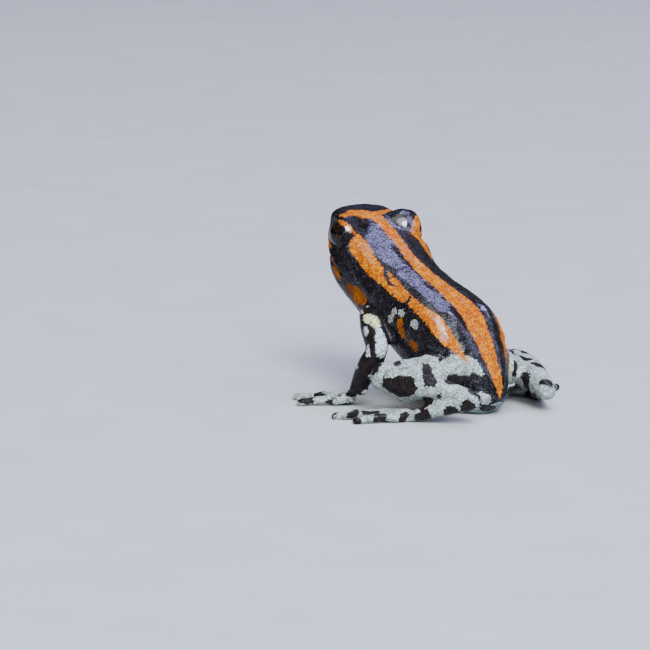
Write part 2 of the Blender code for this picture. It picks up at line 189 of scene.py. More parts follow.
def view_point(px, py):
    """A pixel of the photograph as a point of the upright plane through the vent."""
    right, up, _ = view_axes()
    return right * ((px - VENT_PIXEL[0]) / PIXELS_PER_MM) + up * ((VENT_PIXEL[1] - py) / PIXELS_PER_MM)


def view_eye():
    """Where the photograph's camera stands."""
    return view_point(PICTURE / 2, PICTURE / 2) + view_axes()[2] * VIEW_DISTANCE


# The trunk's surface, for whole arrays of stations and angles.


def trunk_values(t):
    """The trunk's sizes at stations t, on a smooth curve through the table."""
    t = np.clip(t, 0, LAST_STATION)
    i = np.minimum(t.astype(int), LAST_STATION - 1)
    f = (t - i)[:, None]
    a, b, c, d = (TRUNK[np.clip(i + k, 0, LAST_STATION)] for k in (-1, 0, 1, 2))
    return 0.5 * (2 * b + (c - a) * f + (2 * a - 5 * b + 4 * c - d) * f**2 + (3 * b - a - 3 * c + d) * f**3)


def trunk_frames(t):
    """Centre, leftward and upward directions, and sizes, of the sections at stations t."""
    v = trunk_values(t)
    back = np.stack([np.zeros(len(t)), -v[:, BACK_FORWARD], v[:, BACK_UP]], axis=1)
    belly = np.stack([np.zeros(len(t)), -v[:, BELLY_FORWARD], v[:, BELLY_UP]], axis=1)
    upward = back - belly
    centre = belly + upward * v[:, [LOW_SHARE]]
    height = np.linalg.norm(upward, axis=1)
    upward = upward / height[:, None]
    share = np.clip((-centre[:, 1] - TURN_START) / TURN_LENGTH, 0, 1)
    angle = HEAD_TURN * share * share * (3 - 2 * share)
    cos, sin = np.cos(angle), np.sin(angle)
    from_nape = centre[:, 1] + NAPE_FORWARD
    centre = np.stack([-sin * from_nape, cos * from_nape - NAPE_FORWARD, centre[:, 2]], axis=1)
    upward = np.stack([-sin * upward[:, 1], cos * upward[:, 1], upward[:, 2]], axis=1)
    leftward = np.stack([cos, sin, np.zeros(len(t))], axis=1)
    return centre, leftward, upward, height, v


def trunk_points(t, angle):
    """Points on the trunk. Angles run in radians from the back over the left side."""
    t, angle = np.broadcast_arrays(np.asarray(t, float), np.asarray(angle, float))
    centre, leftward, upward, height, v = trunk_frames(t.ravel())
    across, rise = np.sin(angle.ravel()), np.cos(angle.ravel())
    square = np.where(rise > 0, v[:, SQUARE_ABOVE], v[:, SQUARE_BELOW])
    reach = (np.abs(across) ** square + np.abs(rise) ** square) ** (-1 / square)
    tall = height * np.where(rise > 0, 1 - v[:, LOW_SHARE], v[:, LOW_SHARE])
    sideways = (across * reach * v[:, HALF_WIDTH])[:, None]
    return centre + leftward * sideways + upward * (rise * reach * tall)[:, None]


def trunk_coordinates(points):
    """The station and angle of each point, as if it lay on the trunk."""
    steps_per_station = 20
    stations = np.linspace(0, LAST_STATION, LAST_STATION * steps_per_station + 1)
    centre, leftward, upward, _, _ = trunk_frames(stations)
    normal = np.cross(leftward, upward)
    best_t = np.zeros(len(points))
    for start in range(0, len(points), BATCH):
        part = points[start : start + BATCH]
        ahead = part @ normal.T - (centre * normal).sum(1)
        near = np.linalg.norm(part[:, None, :] - centre[None], axis=2)
        crossing = (ahead[:, :-1] >= 0) & (ahead[:, 1:] < 0)
        found = np.where(crossing, near[:, :-1], np.inf).argmin(1)
        row = np.arange(len(part))
        a, b = ahead[row, found], ahead[row, found + 1]
        share = np.clip(a / np.where(a - b == 0, 1, a - b), 0, 1)
        t = stations[found] + share * (stations[1] - stations[0])
        missed = ~crossing.any(1)
        t[missed] = np.where(ahead[missed, 0] < 0, 0, LAST_STATION)
        best_t[start : start + BATCH] = t
    centre, leftward, upward, height, v = trunk_frames(best_t)
    offset = points - centre
    x = (offset * leftward).sum(1) / v[:, HALF_WIDTH]
    z = (offset * upward).sum(1)
    z = z / (height * np.where(z > 0, 1 - v[:, LOW_SHARE], v[:, LOW_SHARE]))
    return best_t, np.arctan2(x, z)


def eased(share):
    return share * share * (3 - 2 * share)


def smoothstep(low, high, values):
    """0 at low, 1 at high, and smooth between."""
    return eased(np.clip((values - low) / (high - low), 0, 1))


# Objects and meshes.


def deselect():
    bpy.ops.object.select_all(action="DESELECT")


def pick(thing):
    """Selects one object alone and makes it the active one."""
    deselect()
    thing.select_set(True)
    bpy.context.view_layer.objects.active = thing


def modified(thing, kind, **settings):
    """Adds a modifier and applies it."""
    pick(thing)
    modifier = thing.modifiers.new(kind.lower(), kind)
    for name, value in settings.items():
        setattr(modifier, name, value)
    bpy.ops.object.modifier_apply(modifier=modifier.name)


def points_of(mesh):
    flat = np.empty(len(mesh.vertices) * 3)
    mesh.vertices.foreach_get("co", flat)
    return flat.reshape(-1, 3)


def set_points(mesh, points):
    mesh.vertices.foreach_set("co", points.ravel())
    mesh.update()


def normals_of(mesh):
    flat = np.empty(len(mesh.vertices) * 3, dtype=np.float32)
    mesh.vertices.foreach_get("normal", flat)
    return flat.reshape(-1, 3).astype(float)


def raised(mesh, height):
    """Moves each point of a mesh along its normal by its height."""
    set_points(mesh, points_of(mesh) + normals_of(mesh) * height[:, None])


def write_field(mesh, name, values):
    """Keeps one number for each point, which the material reads by its name."""
    field = mesh.attributes.new(name, "FLOAT", "POINT")
    field.data.foreach_set("value", np.ascontiguousarray(values, dtype=np.float32))


def add_ball(centre, radius):
    deselect()
    bpy.ops.mesh.primitive_ico_sphere_add(subdivisions=4, radius=radius, location=centre)
    return bpy.context.object


def into_frame(thing):
    """Moves a finished piece from the frog's own places into the model's frame, and shades it smooth."""
    pick(thing)
    bpy.ops.object.transform_apply(location=True, rotation=True, scale=True)
    thing.data.transform(Matrix.Scale(MM, 4) @ Matrix.Translation(-SHIFT))
    bpy.ops.object.shade_smooth()


# Noise and distances, for whole arrays of points.


def noise(points, size, seed):
    """Smooth noise from -1 to 1 with blobs about size mm across."""
    cells = 64
    table = np.random.default_rng(seed).uniform(-1, 1, (cells, cells, cells))
    spot = points / size
    cell = np.floor(spot).astype(int)
    share = eased(spot - cell)
    total = np.zeros(len(points))
    for corner in itertools.product((0, 1), repeat=3):
        weight = np.where(corner, share, 1 - share).prod(axis=1)
        i = (cell + corner) % cells
        total += weight * table[i[:, 0], i[:, 1], i[:, 2]]
    return total


def grains(points, size, seed):
    """Round grains about size mm apart: 1 at each one's middle, 0 between them."""
    cells = 32
    table = np.random.default_rng(seed).uniform(0.15, 0.85, (cells, cells, cells, 3))
    spot = points / size
    cell = np.floor(spot).astype(int)
    nearest = np.full(len(points), np.inf)
    for corner in itertools.product((-1, 0, 1), repeat=3):
        i = (cell + corner) % cells
        middle = cell + corner + table[i[:, 0], i[:, 1], i[:, 2]]
        nearest = np.minimum(nearest, ((spot - middle) ** 2).sum(axis=1))
    return np.clip(1 - nearest / 0.45, 0, 1)


def distances(points, samples, reach):
    """Each point's distance to the nearest sample, at most reach, and that sample's number."""
    samples = np.atleast_2d(samples)
    low, high = samples.min(axis=0) - reach, samples.max(axis=0) + reach
    near = np.flatnonzero(((points > low) & (points < high)).all(axis=1))
    far = np.full(len(points), float(reach))
    which = np.zeros(len(points), int)
    for start in range(0, len(near), BATCH):
        rows = near[start : start + BATCH]
        gap = np.linalg.norm(points[rows, None] - samples[None], axis=2)
        which[rows] = gap.argmin(axis=1)
        far[rows] = np.minimum(gap.min(axis=1), reach)
    return far, which


def bell(distance, spread):
    """1 at no distance, falling to about a third at the spread."""
    return np.exp(-((distance / spread) ** 2))


def spaced(keys, count=60):
    """Rows between the keys' rows, evenly in the first column."""
    keys = np.array(keys, float)
    first = np.linspace(keys[0, 0], keys[-1, 0], count)
    keys = keys[np.argsort(keys[:, 0])]
    return np.stack([np.interp(first, keys[:, 0], column) for column in keys.T], axis=1)


def line_on_trunk(keys, side=1):
    """Points on the trunk along keys of station and angle in degrees over the left side."""
    rows = spaced(keys)
    return trunk_points(rows[:, 0], np.radians(rows[:, 1]) * side)


def trunk_spot(spot, side):
    """The point on the trunk at a station and an angle in degrees from the back over one side."""
    station, angle = spot
    return trunk_points(station, math.radians(angle) * side)


def polyline(corners):
    """Closely spaced points along straight stretches between the corners."""
    spacing = 0.06
    corners = [Vector(corner) for corner in corners]
    points = [corners[0]]
    for start, end in zip(corners, corners[1:]):
        steps = max(1, math.ceil((end - start).length / spacing))
        points += [start.lerp(end, (i + 1) / steps) for i in range(steps)]
    return np.array(points)


# The head's own directions, and where its features lie.

SLOPE = math.atan2(MOUTH_FRONT[1] - MOUTH_CORNER[1], MOUTH_FRONT[0] - MOUTH_CORNER[0])
AHEAD = head_way(0, math.cos(SLOPE), math.sin(SLOPE))
ABOVE = head_way(0, -math.sin(SLOPE), math.cos(SLOPE))
EYE_RADIUS = 1.0
# How much an eye looks outward, ahead and up.
EYE_LOOK = (0.95, 0.05, 0.14)
BROW_THICKNESS = 0.29
LOWER_LID_THICKNESS = 0.08
# The lids' opening as angles from the way the eye looks, how square it is, and how its top slants.
OPENING_UP, OPENING_DOWN, OPENING_AHEAD, OPENING_BACK = 0.68, 0.85, 0.95, 0.80
OPENING_SQUARE = 2.2
OPENING_MEAN = 0.74
BROW_SLANT = 0.25
# Depth and spread of the mouth's line, and height, place above that line and spread of each lip.
MOUTH_GROOVE = (0.085, 0.045)
UPPER_LIP = (0.050, 0.17, 0.11)
LOWER_LIP = (0.035, -0.16, 0.10)
# Depth and spread of the pit, and height, distance and spread of the rim round it.
NOSTRIL_PIT = (0.22, 0.095)
NOSTRIL_RIM = (0.045, 0.19, 0.07)
EARDRUM_HEIGHT = 0.05


def over_mouth(points):
    """How far points lie above the mouth's line."""
    return (points - np.array(in_head(0, *MOUTH_CORNER))) @ np.array(ABOVE) - MOUTH_RISE


def along_mouth(points):
    """How far points lie ahead of the mouth's corners."""
    return (points - np.array(in_head(0, *MOUTH_CORNER))) @ np.array(AHEAD)


def eye_axes(side):
    """The way one eye looks, and the ways ahead and up across it."""
    outward, ahead, up = EYE_LOOK
    look = (head_way(side, 0, 0) * outward + AHEAD * ahead + ABOVE * up).normalized()
    fore = (AHEAD - look * AHEAD.dot(look)).normalized()
    rise = look.cross(fore) * -side
    if rise.dot(ABOVE) < 0:
        rise = -rise
    return look, fore, rise


def eye_middle(side):
    """The middle of one eyeball."""
    return in_head(side * EYE_PLACE[0], *EYE_PLACE[1:])


def eye_angles(points, side):
    """Distance from an eye's middle, and angles ahead and up from the way it looks."""
    offset = points - np.array(eye_middle(side))
    radius = np.linalg.norm(offset, axis=1)
    look, fore, rise = (offset @ np.array(way) / radius for way in eye_axes(side))
    turn = np.arccos(np.clip(look, -1, 1))
    flat = np.maximum(np.hypot(fore, rise), 1e-6)
    return radius, turn * fore / flat, turn * rise / flat


def lid_margin(points, side):
    """Distance from the eye's middle, mm from the lids' edge, negative over the eyeball, and rise."""
    radius, fore, rise = eye_angles(points, side)
    tall = np.where(rise > 0, OPENING_UP, OPENING_DOWN)
    wide = np.where(fore > 0, OPENING_AHEAD, OPENING_BACK)
    square = OPENING_SQUARE
    opening = ((np.abs(fore) / wide) ** square + (np.abs(rise) / tall) ** square) ** (1 / square)
    return radius, (opening - 1) * OPENING_MEAN * EYE_RADIUS, rise - BROW_SLANT * fore


# The shape of the skin.

# Ridges on the trunk, and hollows where the height is below 0: stations and degrees, height, spread.
MIDDLE_FORMS = [
    ([(4.4, 0), (1.2, 0)], 0.05, 0.30),
    ([(9.2, 0), (5.4, 0)], -0.05, 0.35),
]
SIDE_FORMS = [
    ([(4.35, 25), (4.9, 29)], 0.13, 0.42),
    ([(4.6, 26), (1.6, 24)], 0.06, 0.32),
    ([(8.4, 34), (9.3, 42)], 0.07, 0.55),
    ([(12.5, 44), (13.5, 42), (14.0, 44)], 0.07, 0.26),
    ([(12.8, 68), (13.7, 66)], -0.10, 0.40),
    ([(10.6, 56), (10.0, 56), (9.4, 64), (9.0, 74)], 0.08, 0.20),
    ([(8.7, 92), (7.6, 100)], -0.10, 0.35),
    ([(6.9, 84), (3.6, 78)], 0.05, 0.9),
]


def joined_flesh():
    """All flesh nodes in one mesh, with balls that fill the eye sockets."""
    gathered = bmesh.new()
    for name in TRUNK_NODES + LIMB_NODES:
        gathered.from_mesh(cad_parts[name].data)
    bmesh.ops.remove_doubles(gathered, verts=gathered.verts, dist=1e-7)
    mesh = bpy.data.meshes.new("skin")
    gathered.to_mesh(mesh)
    gathered.free()
    mesh.transform(Matrix.Translation(SHIFT) @ Matrix.Scale(1 / MM, 4))
    skin = bpy.data.objects.new("skin", mesh)
    bpy.context.scene.collection.objects.link(skin)
    balls = [add_ball(eye_middle(side), EYE_RADIUS + 0.15) for side in SIDES.values()]
    pick(skin)
    for ball in balls:
        ball.select_set(True)
    bpy.ops.object.join()
    return skin


def mirrored(spot, side):
    """A place of the left side, on either side."""
    left, forward, up = spot
    return place(left * side, forward, up)


def paw_digits(side, start, before, paw):
    """Root of the hand or foot after a limb's end, and knuckle, tip and disc radius of each digit."""
    heading, length, width, digits = paw

    def way(angle):
        return Vector((math.sin(math.radians(angle)) * side, -math.cos(math.radians(angle)), 0))

    start, before = mirrored(start, side), mirrored(before, side)
    root = start + (start - before).normalized() * CUT
    front = root + way(heading) * length
    front.z = PALM_HEIGHT
    found = []
    for i, (angle, reach, disc) in enumerate(digits):
        share = 2 * i / (len(digits) - 1) - 1
        knuckle = front + way(heading + 90) * share * width * 0.85 - way(heading) * (abs(share) - 0.3) * 0.35
        tip = knuckle + way(heading + angle) * (reach + disc * 0.45)
        knuckle.z = tip.z = DIGIT_HEIGHT
        found.append((knuckle, tip, disc))
    return root, found


def all_paws():
    """Root and digits of both hands and both feet."""
    paws = []
    for word, side in SIDES.items():
        paws.append(paw_digits(side, ARM[2], ARM[1], HAND))
        paws.append(paw_digits(side, LEGS[word][3], LEGS[word][2], FOOT))
    return paws


def swelling(points):
    """1 where cuts are closed, and 0 on the digits, which would grow together."""
    share = np.ones(len(points))
    for root, digits in all_paws():
        middle = sum((tip for _, tip, _ in digits), Vector()) / len(digits)
        ahead = np.array((middle - root).normalized())
        offset = points - np.array(root)
        beyond = offset @ ahead
        near = (np.linalg.norm(offset, axis=1) < 5.2) & (points[:, 2] < 1.05)
        share = np.where(near, np.minimum(share, 1 - smoothstep(0.15, 0.5, beyond)), share)
    return share


def fused(skin, bridge, voxel):
    """Closes the cuts between the nodes: the skin swells by bridge, fuses, and shrinks again."""
    for amount in (bridge, -bridge):
        raised(skin.data, amount * swelling(points_of(skin.data)))
        modified(skin, "REMESH", mode="VOXEL", voxel_size=voxel)


def neighbours(mesh):
    """The two ends of every edge."""
    flat = np.empty(len(mesh.edges) * 2, dtype=np.int32)
    mesh.edges.foreach_get("vertices", flat)
    return flat.reshape(-1, 2).T


def relaxed(mesh, rounds, share, pushes=(0.5, -0.52)):
    """Smooths a mesh, each point by its own share, and with the usual pushes without thinning it."""
    a, b = neighbours(mesh)
    points = points_of(mesh)
    count = np.bincount(a, minlength=len(points)) + np.bincount(b, minlength=len(points))
    share = np.broadcast_to(share, len(points))[:, None]
    for _ in range(rounds):
        for push in pushes:
            total = np.zeros_like(points)
            for axis in range(3):
                total[:, axis] += np.bincount(a, weights=points[b, axis], minlength=len(points))
                total[:, axis] += np.bincount(b, weights=points[a, axis], minlength=len(points))
            points = points + (total / count[:, None] - points) * push * share
    set_points(mesh, points)


def large_forms(points):
    """Swellings and hollows of the body, as heights along the normals."""
    forms = [(line_on_trunk(keys), tall, spread) for keys, tall, spread in MIDDLE_FORMS]
    for side in SIDES.values():
        forms += [(line_on_trunk(keys, side), tall, spread) for keys, tall, spread in SIDE_FORMS]
    height = np.zeros(len(points))
    for line, tall, spread in forms:
        reach = spread * 2.6
        far, _ = distances(points, line, reach)
        height += tall * (bell(far, spread) - bell(reach, spread))
    return height


def near_features(points):
    """Where the skin's mesh is made finer: around the eyes, nostrils, ears and mouth."""
    fine = np.zeros(len(points), bool)
    for side in SIDES.values():
        radius, edge, _ = lid_margin(points, side)
        fine |= (np.abs(edge) < 0.20) & (radius < 1.5)
        fine |= np.linalg.norm(points - trunk_spot(NOSTRIL, side), axis=1) < 0.34
    fine |= (np.abs(over_mouth(points)) < 0.13) & (along_mouth(points) > -0.35)
    return fine


def made_finer(skin):
    """Divides the faces around the small features."""
    mesh = skin.data
    fine = near_features(points_of(mesh))
    pick(skin)
    bpy.ops.object.mode_set(mode="EDIT")
    bpy.ops.mesh.select_all(action="DESELECT")
    bpy.ops.object.mode_set(mode="OBJECT")
    for polygon in mesh.polygons:
        polygon.select = bool(fine[list(polygon.vertices)].any())
    bpy.ops.object.mode_set(mode="EDIT")
    bpy.ops.mesh.select_mode(type="FACE")
    bpy.ops.mesh.subdivide(number_cuts=1, smoothness=0)
    bpy.ops.object.mode_set(mode="OBJECT")


def shape_lids(points, side):
    """Opens the lids over one eyeball, domes the brow and gives the lids rounded edges."""
    middle = np.array(eye_middle(side))
    radius, edge, rise = lid_margin(points, side)
    brow = smoothstep(-0.30, 0.40, rise)
    thick = LOWER_LID_THICKNESS + (BROW_THICKNESS - LOWER_LID_THICKNESS) * brow
    # Over the eyeball the skin lies hidden inside it, and at the lids' edge it comes out and rolls over.
    hidden = 0.84 * EYE_RADIUS + (0.17 * EYE_RADIUS) * smoothstep(-0.14, 0.01, edge)
    turned = 0.11 + 0.10 * brow
    roll = np.sqrt(np.clip(1 - (1 - np.clip(edge, 0, turned) / turned) ** 2, 0, 1))
    rim = EYE_RADIUS * 1.01 + thick * roll
    share = 1 - smoothstep(0.04, 0.22 + 0.28 * brow, edge)
    share[radius > 1.75] = 0
    wanted = radius + (np.where(edge < 0, hidden, rim) - radius) * share
    # The brow is a dome round the eyeball, joined softly to what stands higher.
    dome = EYE_RADIUS + (thick - 0.04) * roll
    over = 0.5 * (wanted + dome + np.sqrt((wanted - dome) ** 2 + 0.006))
    wanted = np.where(edge > 0, over - 0.03 * (1 - roll), wanted)
    # A fine groove runs beside the edge.
    groove = bell(edge - 0.34, 0.06) * (0.010 + 0.030 * brow) * (radius < 1.5)
    wanted = wanted - groove
    near = radius < 1.9
    moved = points.copy()
    moved[near] = middle + (points[near] - middle) * (wanted / radius)[near, None]
    return moved


def brow_roots(points):
    """1 where the domes of the brows meet the top of the head, and 0 elsewhere."""
    share = np.zeros(len(points))
    for side in SIDES.values():
        radius, _, rise = lid_margin(points, side)
        share = np.maximum(share, bell(radius - 1.42, 0.22) * smoothstep(0.2, 0.5, rise) * (radius < 2.4))
    return share


def small_forms(points):
    """Mouth, lips, nostrils and ears, as heights along the normals."""
    height = np.zeros(len(points))
    level, ahead = over_mouth(points), along_mouth(points)
    gape = smoothstep(-0.30, 0.35, ahead) * (np.abs(level) < 0.6)
    deep, spread = MOUTH_GROOVE
    height -= gape * deep * bell(level + 0.10 * bell(ahead, 0.35), spread)
    for tall, above, spread in (UPPER_LIP, LOWER_LIP):
        height += gape * tall * bell(level - above, spread)
    for side in SIDES.values():
        far = np.linalg.norm(points - trunk_spot(NOSTRIL, side), axis=1)
        deep, spread = NOSTRIL_PIT
        height -= deep * bell(far, spread)
        tall, away, spread = NOSTRIL_RIM
        height += tall * bell(far - away, spread) * (far < 0.5)
        drum = trunk_spot(EARDRUM, side)
        far = np.linalg.norm(points - drum, axis=1)
        covered = smoothstep(-0.25, 0.15, (points - drum) @ np.array(ABOVE) - 0.20)
        ring = EARDRUM_HEIGHT * bell(far - EARDRUM_RADIUS, 0.06)
        ring -= EARDRUM_HEIGHT * (1 - smoothstep(0.16, 0.38, far))
        ring += 0.4 * EARDRUM_HEIGHT * bell(far, 0.14)
        height += ring * (1 - covered)
    return height


def folds(points):
    """Fine wrinkles where the limbs bend and at the flanks, as depths."""
    depth = np.zeros(len(points))
    ripple = noise(points, 0.5, 11)

    def wrinkle(spot, way, reach, spacing, deep):
        offset = points - np.array(spot)
        far = np.linalg.norm(offset, axis=1)
        along = offset @ np.array(way.normalized()) + 0.09 * ripple
        wave = 0.5 + 0.5 * np.cos(2 * math.pi * along / spacing)
        depth[:] += deep * wave**3 * bell(far, reach)

    for word, side in SIDES.items():
        armpit, elbow, wrist = (mirrored(joint, side) for joint in ARM)
        hip, knee, heel, sole = (mirrored(joint, side) for joint in LEGS[word])
        wrinkle(elbow, wrist - armpit, 0.55, 0.24, 0.035)
        wrinkle(wrist, wrist - elbow, 0.45, 0.20, 0.03)
        wrinkle(armpit + place(0, -0.3, 0.2), elbow - armpit, 0.7, 0.30, 0.035)
        wrinkle(knee, heel - hip, 0.6, 0.28, 0.03)
        wrinkle(heel, sole - knee, 0.6, 0.24, 0.035)
        wrinkle(hip.lerp(knee, 0.35) + place(0, 0.4, 0.9), knee - hip, 0.5, 0.33, 0.025)
    return depth


def relief(points, facing, flank):
    """Grains of the skin that are large enough to be shapes, coarser below and on the flanks."""
    below = smoothstep(-0.1, -0.7, facing)
    coarse = 0.45 + 0.55 * np.maximum(below, 0.6 * flank)
    height = 0.028 * grains(points, 0.25, 5) * coarse
    height += 0.010 * noise(points, 0.35, 6) + 0.014 * noise(points, 0.9, 7)
    paw = 1 - smoothstep(0.4, 1.1, points[:, 2])
    return height * (1 - 0.6 * paw)


def shape_digits(points, normals):
    """Pads under the joints, and the two scutes on each disc, as heights."""
    height = np.zeros(len(points))
    for _, digits in all_paws():
        for knuckle, tip, disc in digits:
            way = (tip - knuckle).normalized()
            across = Vector((-way.y, way.x, 0))
            offset = points - np.array(tip)
            along, aside = offset @ np.array(way), offset @ np.array(across)
            near = (np.hypot(along, aside) < disc * 1.5) & (points[:, 2] < 0.7)
            upper = smoothstep(0.1, 0.5, normals[:, 2])
            scute = bell(np.abs(aside) - disc * 0.42, disc * 0.36) * bell(along + 0.02, disc * 0.5)
            groove = bell(aside, disc * 0.16) * bell(along, disc * 0.6)
            height += near * upper * (0.05 * scute - 0.035 * groove)
            height += near * (1 - upper) * 0.02 * bell(np.hypot(along, aside), disc * 0.9)
            for share in (0.05, 0.5):
                joint = knuckle.lerp(tip, share)
                far = np.hypot(*(points - np.array(joint))[:, :2].T)
                height += (points[:, 2] < 0.6) * 0.03 * bell(far, 0.17)
    return height


def part_shares(points):
    """How far each point stands off the trunk and off the limbs' bones, in mm."""
    t, angle = trunk_coordinates(points)
    middle = trunk_frames(t)[0]
    reach = np.linalg.norm(trunk_points(t, angle) - middle, axis=1)
    off_trunk = np.linalg.norm(points - middle, axis=1) - reach
    bones = []
    for word, side in SIDES.items():
        bones += limb_bones(ARM, ARM_RADII, side) + limb_bones(LEGS[word], LEG_RADII, side)
    off_limb = np.full(len(points), np.inf)
    for start, end, radius in bones:
        along = np.array(end - start)
        share = np.clip(((points - np.array(start)) @ along) / (along @ along), 0, 1)
        far = np.linalg.norm(points - np.array(start) - share[:, None] * along, axis=1) - radius
        off_limb = np.minimum(off_limb, far)
    paw = points[:, 2] < 0.9
    off_limb = np.where(paw & (off_trunk > 0.3), -0.5, off_limb)
    return t, angle, off_trunk, off_limb


def limb_bones(joints, radii, side):
    """Start, end and radius of each stretch of a limb."""
    joints = [mirrored(joint, side) for joint in joints]
    return list(zip(joints, joints[1:], radii))


def off_lids(points):
    """0 at the lids' edges and over the eyeballs, and 1 elsewhere."""
    calm = np.ones(len(points))
    for side in SIDES.values():
        radius, edge, _ = lid_margin(points, side)
        calm *= 1 - (radius < 1.5) * (1 - smoothstep(0.02, 0.3, edge))
    return calm


def build_skin_shape(settings):
    """The skin in the frog's own places, from the large forms to the grains."""
    skin = joined_flesh()
    fused(skin, settings.bridge, settings.voxel)
    mesh = skin.data
    digits = 1 - smoothstep(0.5, 1.0, points_of(mesh)[:, 2])
    relaxed(mesh, settings.smoothing, 1 - 0.45 * digits)
    raised(mesh, large_forms(points_of(mesh)))
    raised(mesh, shape_digits(points_of(mesh), normals_of(mesh)))
    made_finer(skin)
    relaxed(mesh, 2, 1.0)
    raised(mesh, small_forms(points_of(mesh)))
    for side in SIDES.values():
        set_points(mesh, shape_lids(points_of(mesh), side))
    relaxed(mesh, settings.brow_smoothing, brow_roots(points_of(mesh)), pushes=(0.5,))
    points = points_of(mesh)
    t, angle, off_trunk, off_limb = part_shares(points)
    limb = smoothstep(-0.15, 0.25, off_trunk - off_limb)
    flank = smoothstep(math.radians(50), math.radians(85), np.abs(angle)) * (1 - limb) * (t < NAPE_STATION)
    grain = relief(points, normals_of(mesh)[:, 2], flank)
    raised(mesh, (grain - folds(points)) * off_lids(points))
    points = points_of(mesh)
    points[:, 2] = np.maximum(points[:, 2], 0)
    set_points(mesh, points)
    return skin


# The markings. A mark is a signed distance in mm: positive inside it.

# Stripes along the trunk: station, and the angles of both edges in degrees over the side.
MEDIAN = [
    (0.30, -24, 22), (0.8, -27, 20), (1.5, -22, 18), (2, -18, 17), (3, -16, 16), (4, -16, 16), (5, -17, 14),
    (5.5, -15, 15), (6, -11.5, 14), (6.5, -11, 12.5), (7, -11, 12.5), (7.5, -11, 10.5), (8, -12.5, 8),
    (8.5, -13, 4.5), (9, -13, 1), (9.5, -12.5, 1.5), (10, -12.5, 2.5), (10.5, -12.5, 2.5), (11, -12, 3),
    (11.5, -11, 6), (11.9, -9, 9),
]  # fmt: skip
FLANKING = {
    "left": [
        (2.7, 43, 46), (3.1, 41, 49), (3.5, 37, 51), (4, 37, 55), (4.5, 36.5, 55), (5, 37, 54),
        (5.5, 40, 54), (6, 42, 54), (6.5, 42.5, 54), (7, 41, 57), (7.5, 39, 57), (8, 39, 57.5),
        (8.5, 37.5, 59), (9, 36, 57.5), (9.5, 31, 55), (9.9, 28, 52), (10.2, 29, 46), (10.35, 31, 41),
    ],
    "right": [
        (2.5, 42, 46), (3.0, 39, 50), (3.6, 37, 53), (4.4, 38, 56), (5.2, 40, 57), (6, 43, 58), (6.8, 46, 60),
        (7.5, 48, 62), (8, 47, 62), (8.5, 43, 60), (9, 37, 58), (9.5, 35, 55), (10, 37, 54), (10.4, 38, 52),
    ],
}  # fmt: skip

# Nothing is looked for further than this from a mark's middle line.
MARK_REACH = 1.6

# Marks that the photograph shows besides the stripes: half widths in pixels, and the run's corners.
# Orange dots and dashes on the flank, and dark breaks in the stripes.
ORANGE_MARKS = [
    ([5.5, 9.5, 8.5], [(349, 288), (355, 294), (361, 298)]),
    ([2.5, 4.0, 2.5], [(334, 267), (336, 272), (340, 278)]),
    ([2.2, 2.2], [(332, 259), (333, 262)]),
    ([4.0, 5.0, 3.5], [(400, 322), (401, 328), (403, 336)]),
    ([4.0, 4.5], [(411, 343), (415, 346)]),
]
STRIPE_CUTS = [
    ([1.5, 2.2, 1.2, 1.0], [(385, 269), (386, 274), (389, 284), (397, 286)]),
    ([1.2, 2.4, 2.0], [(410, 297), (407, 303), (400, 306)]),
    ([4.0, 3.5], [(350, 236), (346, 240)]),
]
# Stripes over the brows and on the upper lids, with half widths in mm. The right brow's corners are
# stations and degrees on the trunk.
LEFT_ARC_WIDTHS = [0.36, 0.46, 0.52, 0.52, 0.48, 0.30]
RIGHT_ARC_WIDTHS = [0.26, 0.23, 0.22, 0.22, 0.21, 0.12]
LEFT_BROW_ARC = [(378, 216), (370, 214.6), (362, 213.6), (354, 213.3), (348, 213.8), (344.5, 215.0)]
RIGHT_BROW_ARC = [(11.95, -1), (12.25, -16), (12.45, -29), (12.85, -41), (13.3, -49), (13.6, -54)]
LID_STRIPE_WIDTHS = {"left": [0.24, 0.20, 0.18, 0.15, 0.10], "right": [0.34, 0.34, 0.32, 0.28, 0.2]}
LID_STRIPE = [(357, 239), (352, 231), (346.5, 226), (341, 222.5), (339, 221)]
# Stripe on the upper lip: how far ahead of the mouth's corner, how far above the mouth, half width.
LIP_STRIPE = [(2.15, 0.40, 0.08), (2.45, 0.39, 0.17), (3.0, 0.36, 0.17), (3.5, 0.38, 0.08)]
# Beige dots low on the flank.
PALE_MARKS = [
    ([4.0, 4.5], [(394, 312), (391, 318)]),
    ([3.4, 3.4], [(400, 312), (402, 313)]),
    ([3.6, 3.6], [(413, 323), (415, 325)]),
    ([2.4, 2.4], [(361, 311), (362, 313)]),
]
# The cream patch at the left shoulder, and the pale marks down the arm.
CREAM_MARKS = [
    ([5.0, 6.0], [(366, 317), (370, 319)]),
    ([6.0, 5.0], [(374, 319), (376, 324)]),
]
ARM_MARKS = [
    ([5.0, 8.0, 8.5, 6.5], [(379, 331), (382, 338), (383, 346), (382, 352)]),
    ([2.8, 2.8], [(365, 330), (366, 334)]),
    ([3.0, 3.0], [(368, 347), (368, 354)]),
    ([2.8, 2.8], [(357, 361), (357, 367)]),
    ([2.6, 2.6], [(367, 391), (367, 396)]),
]
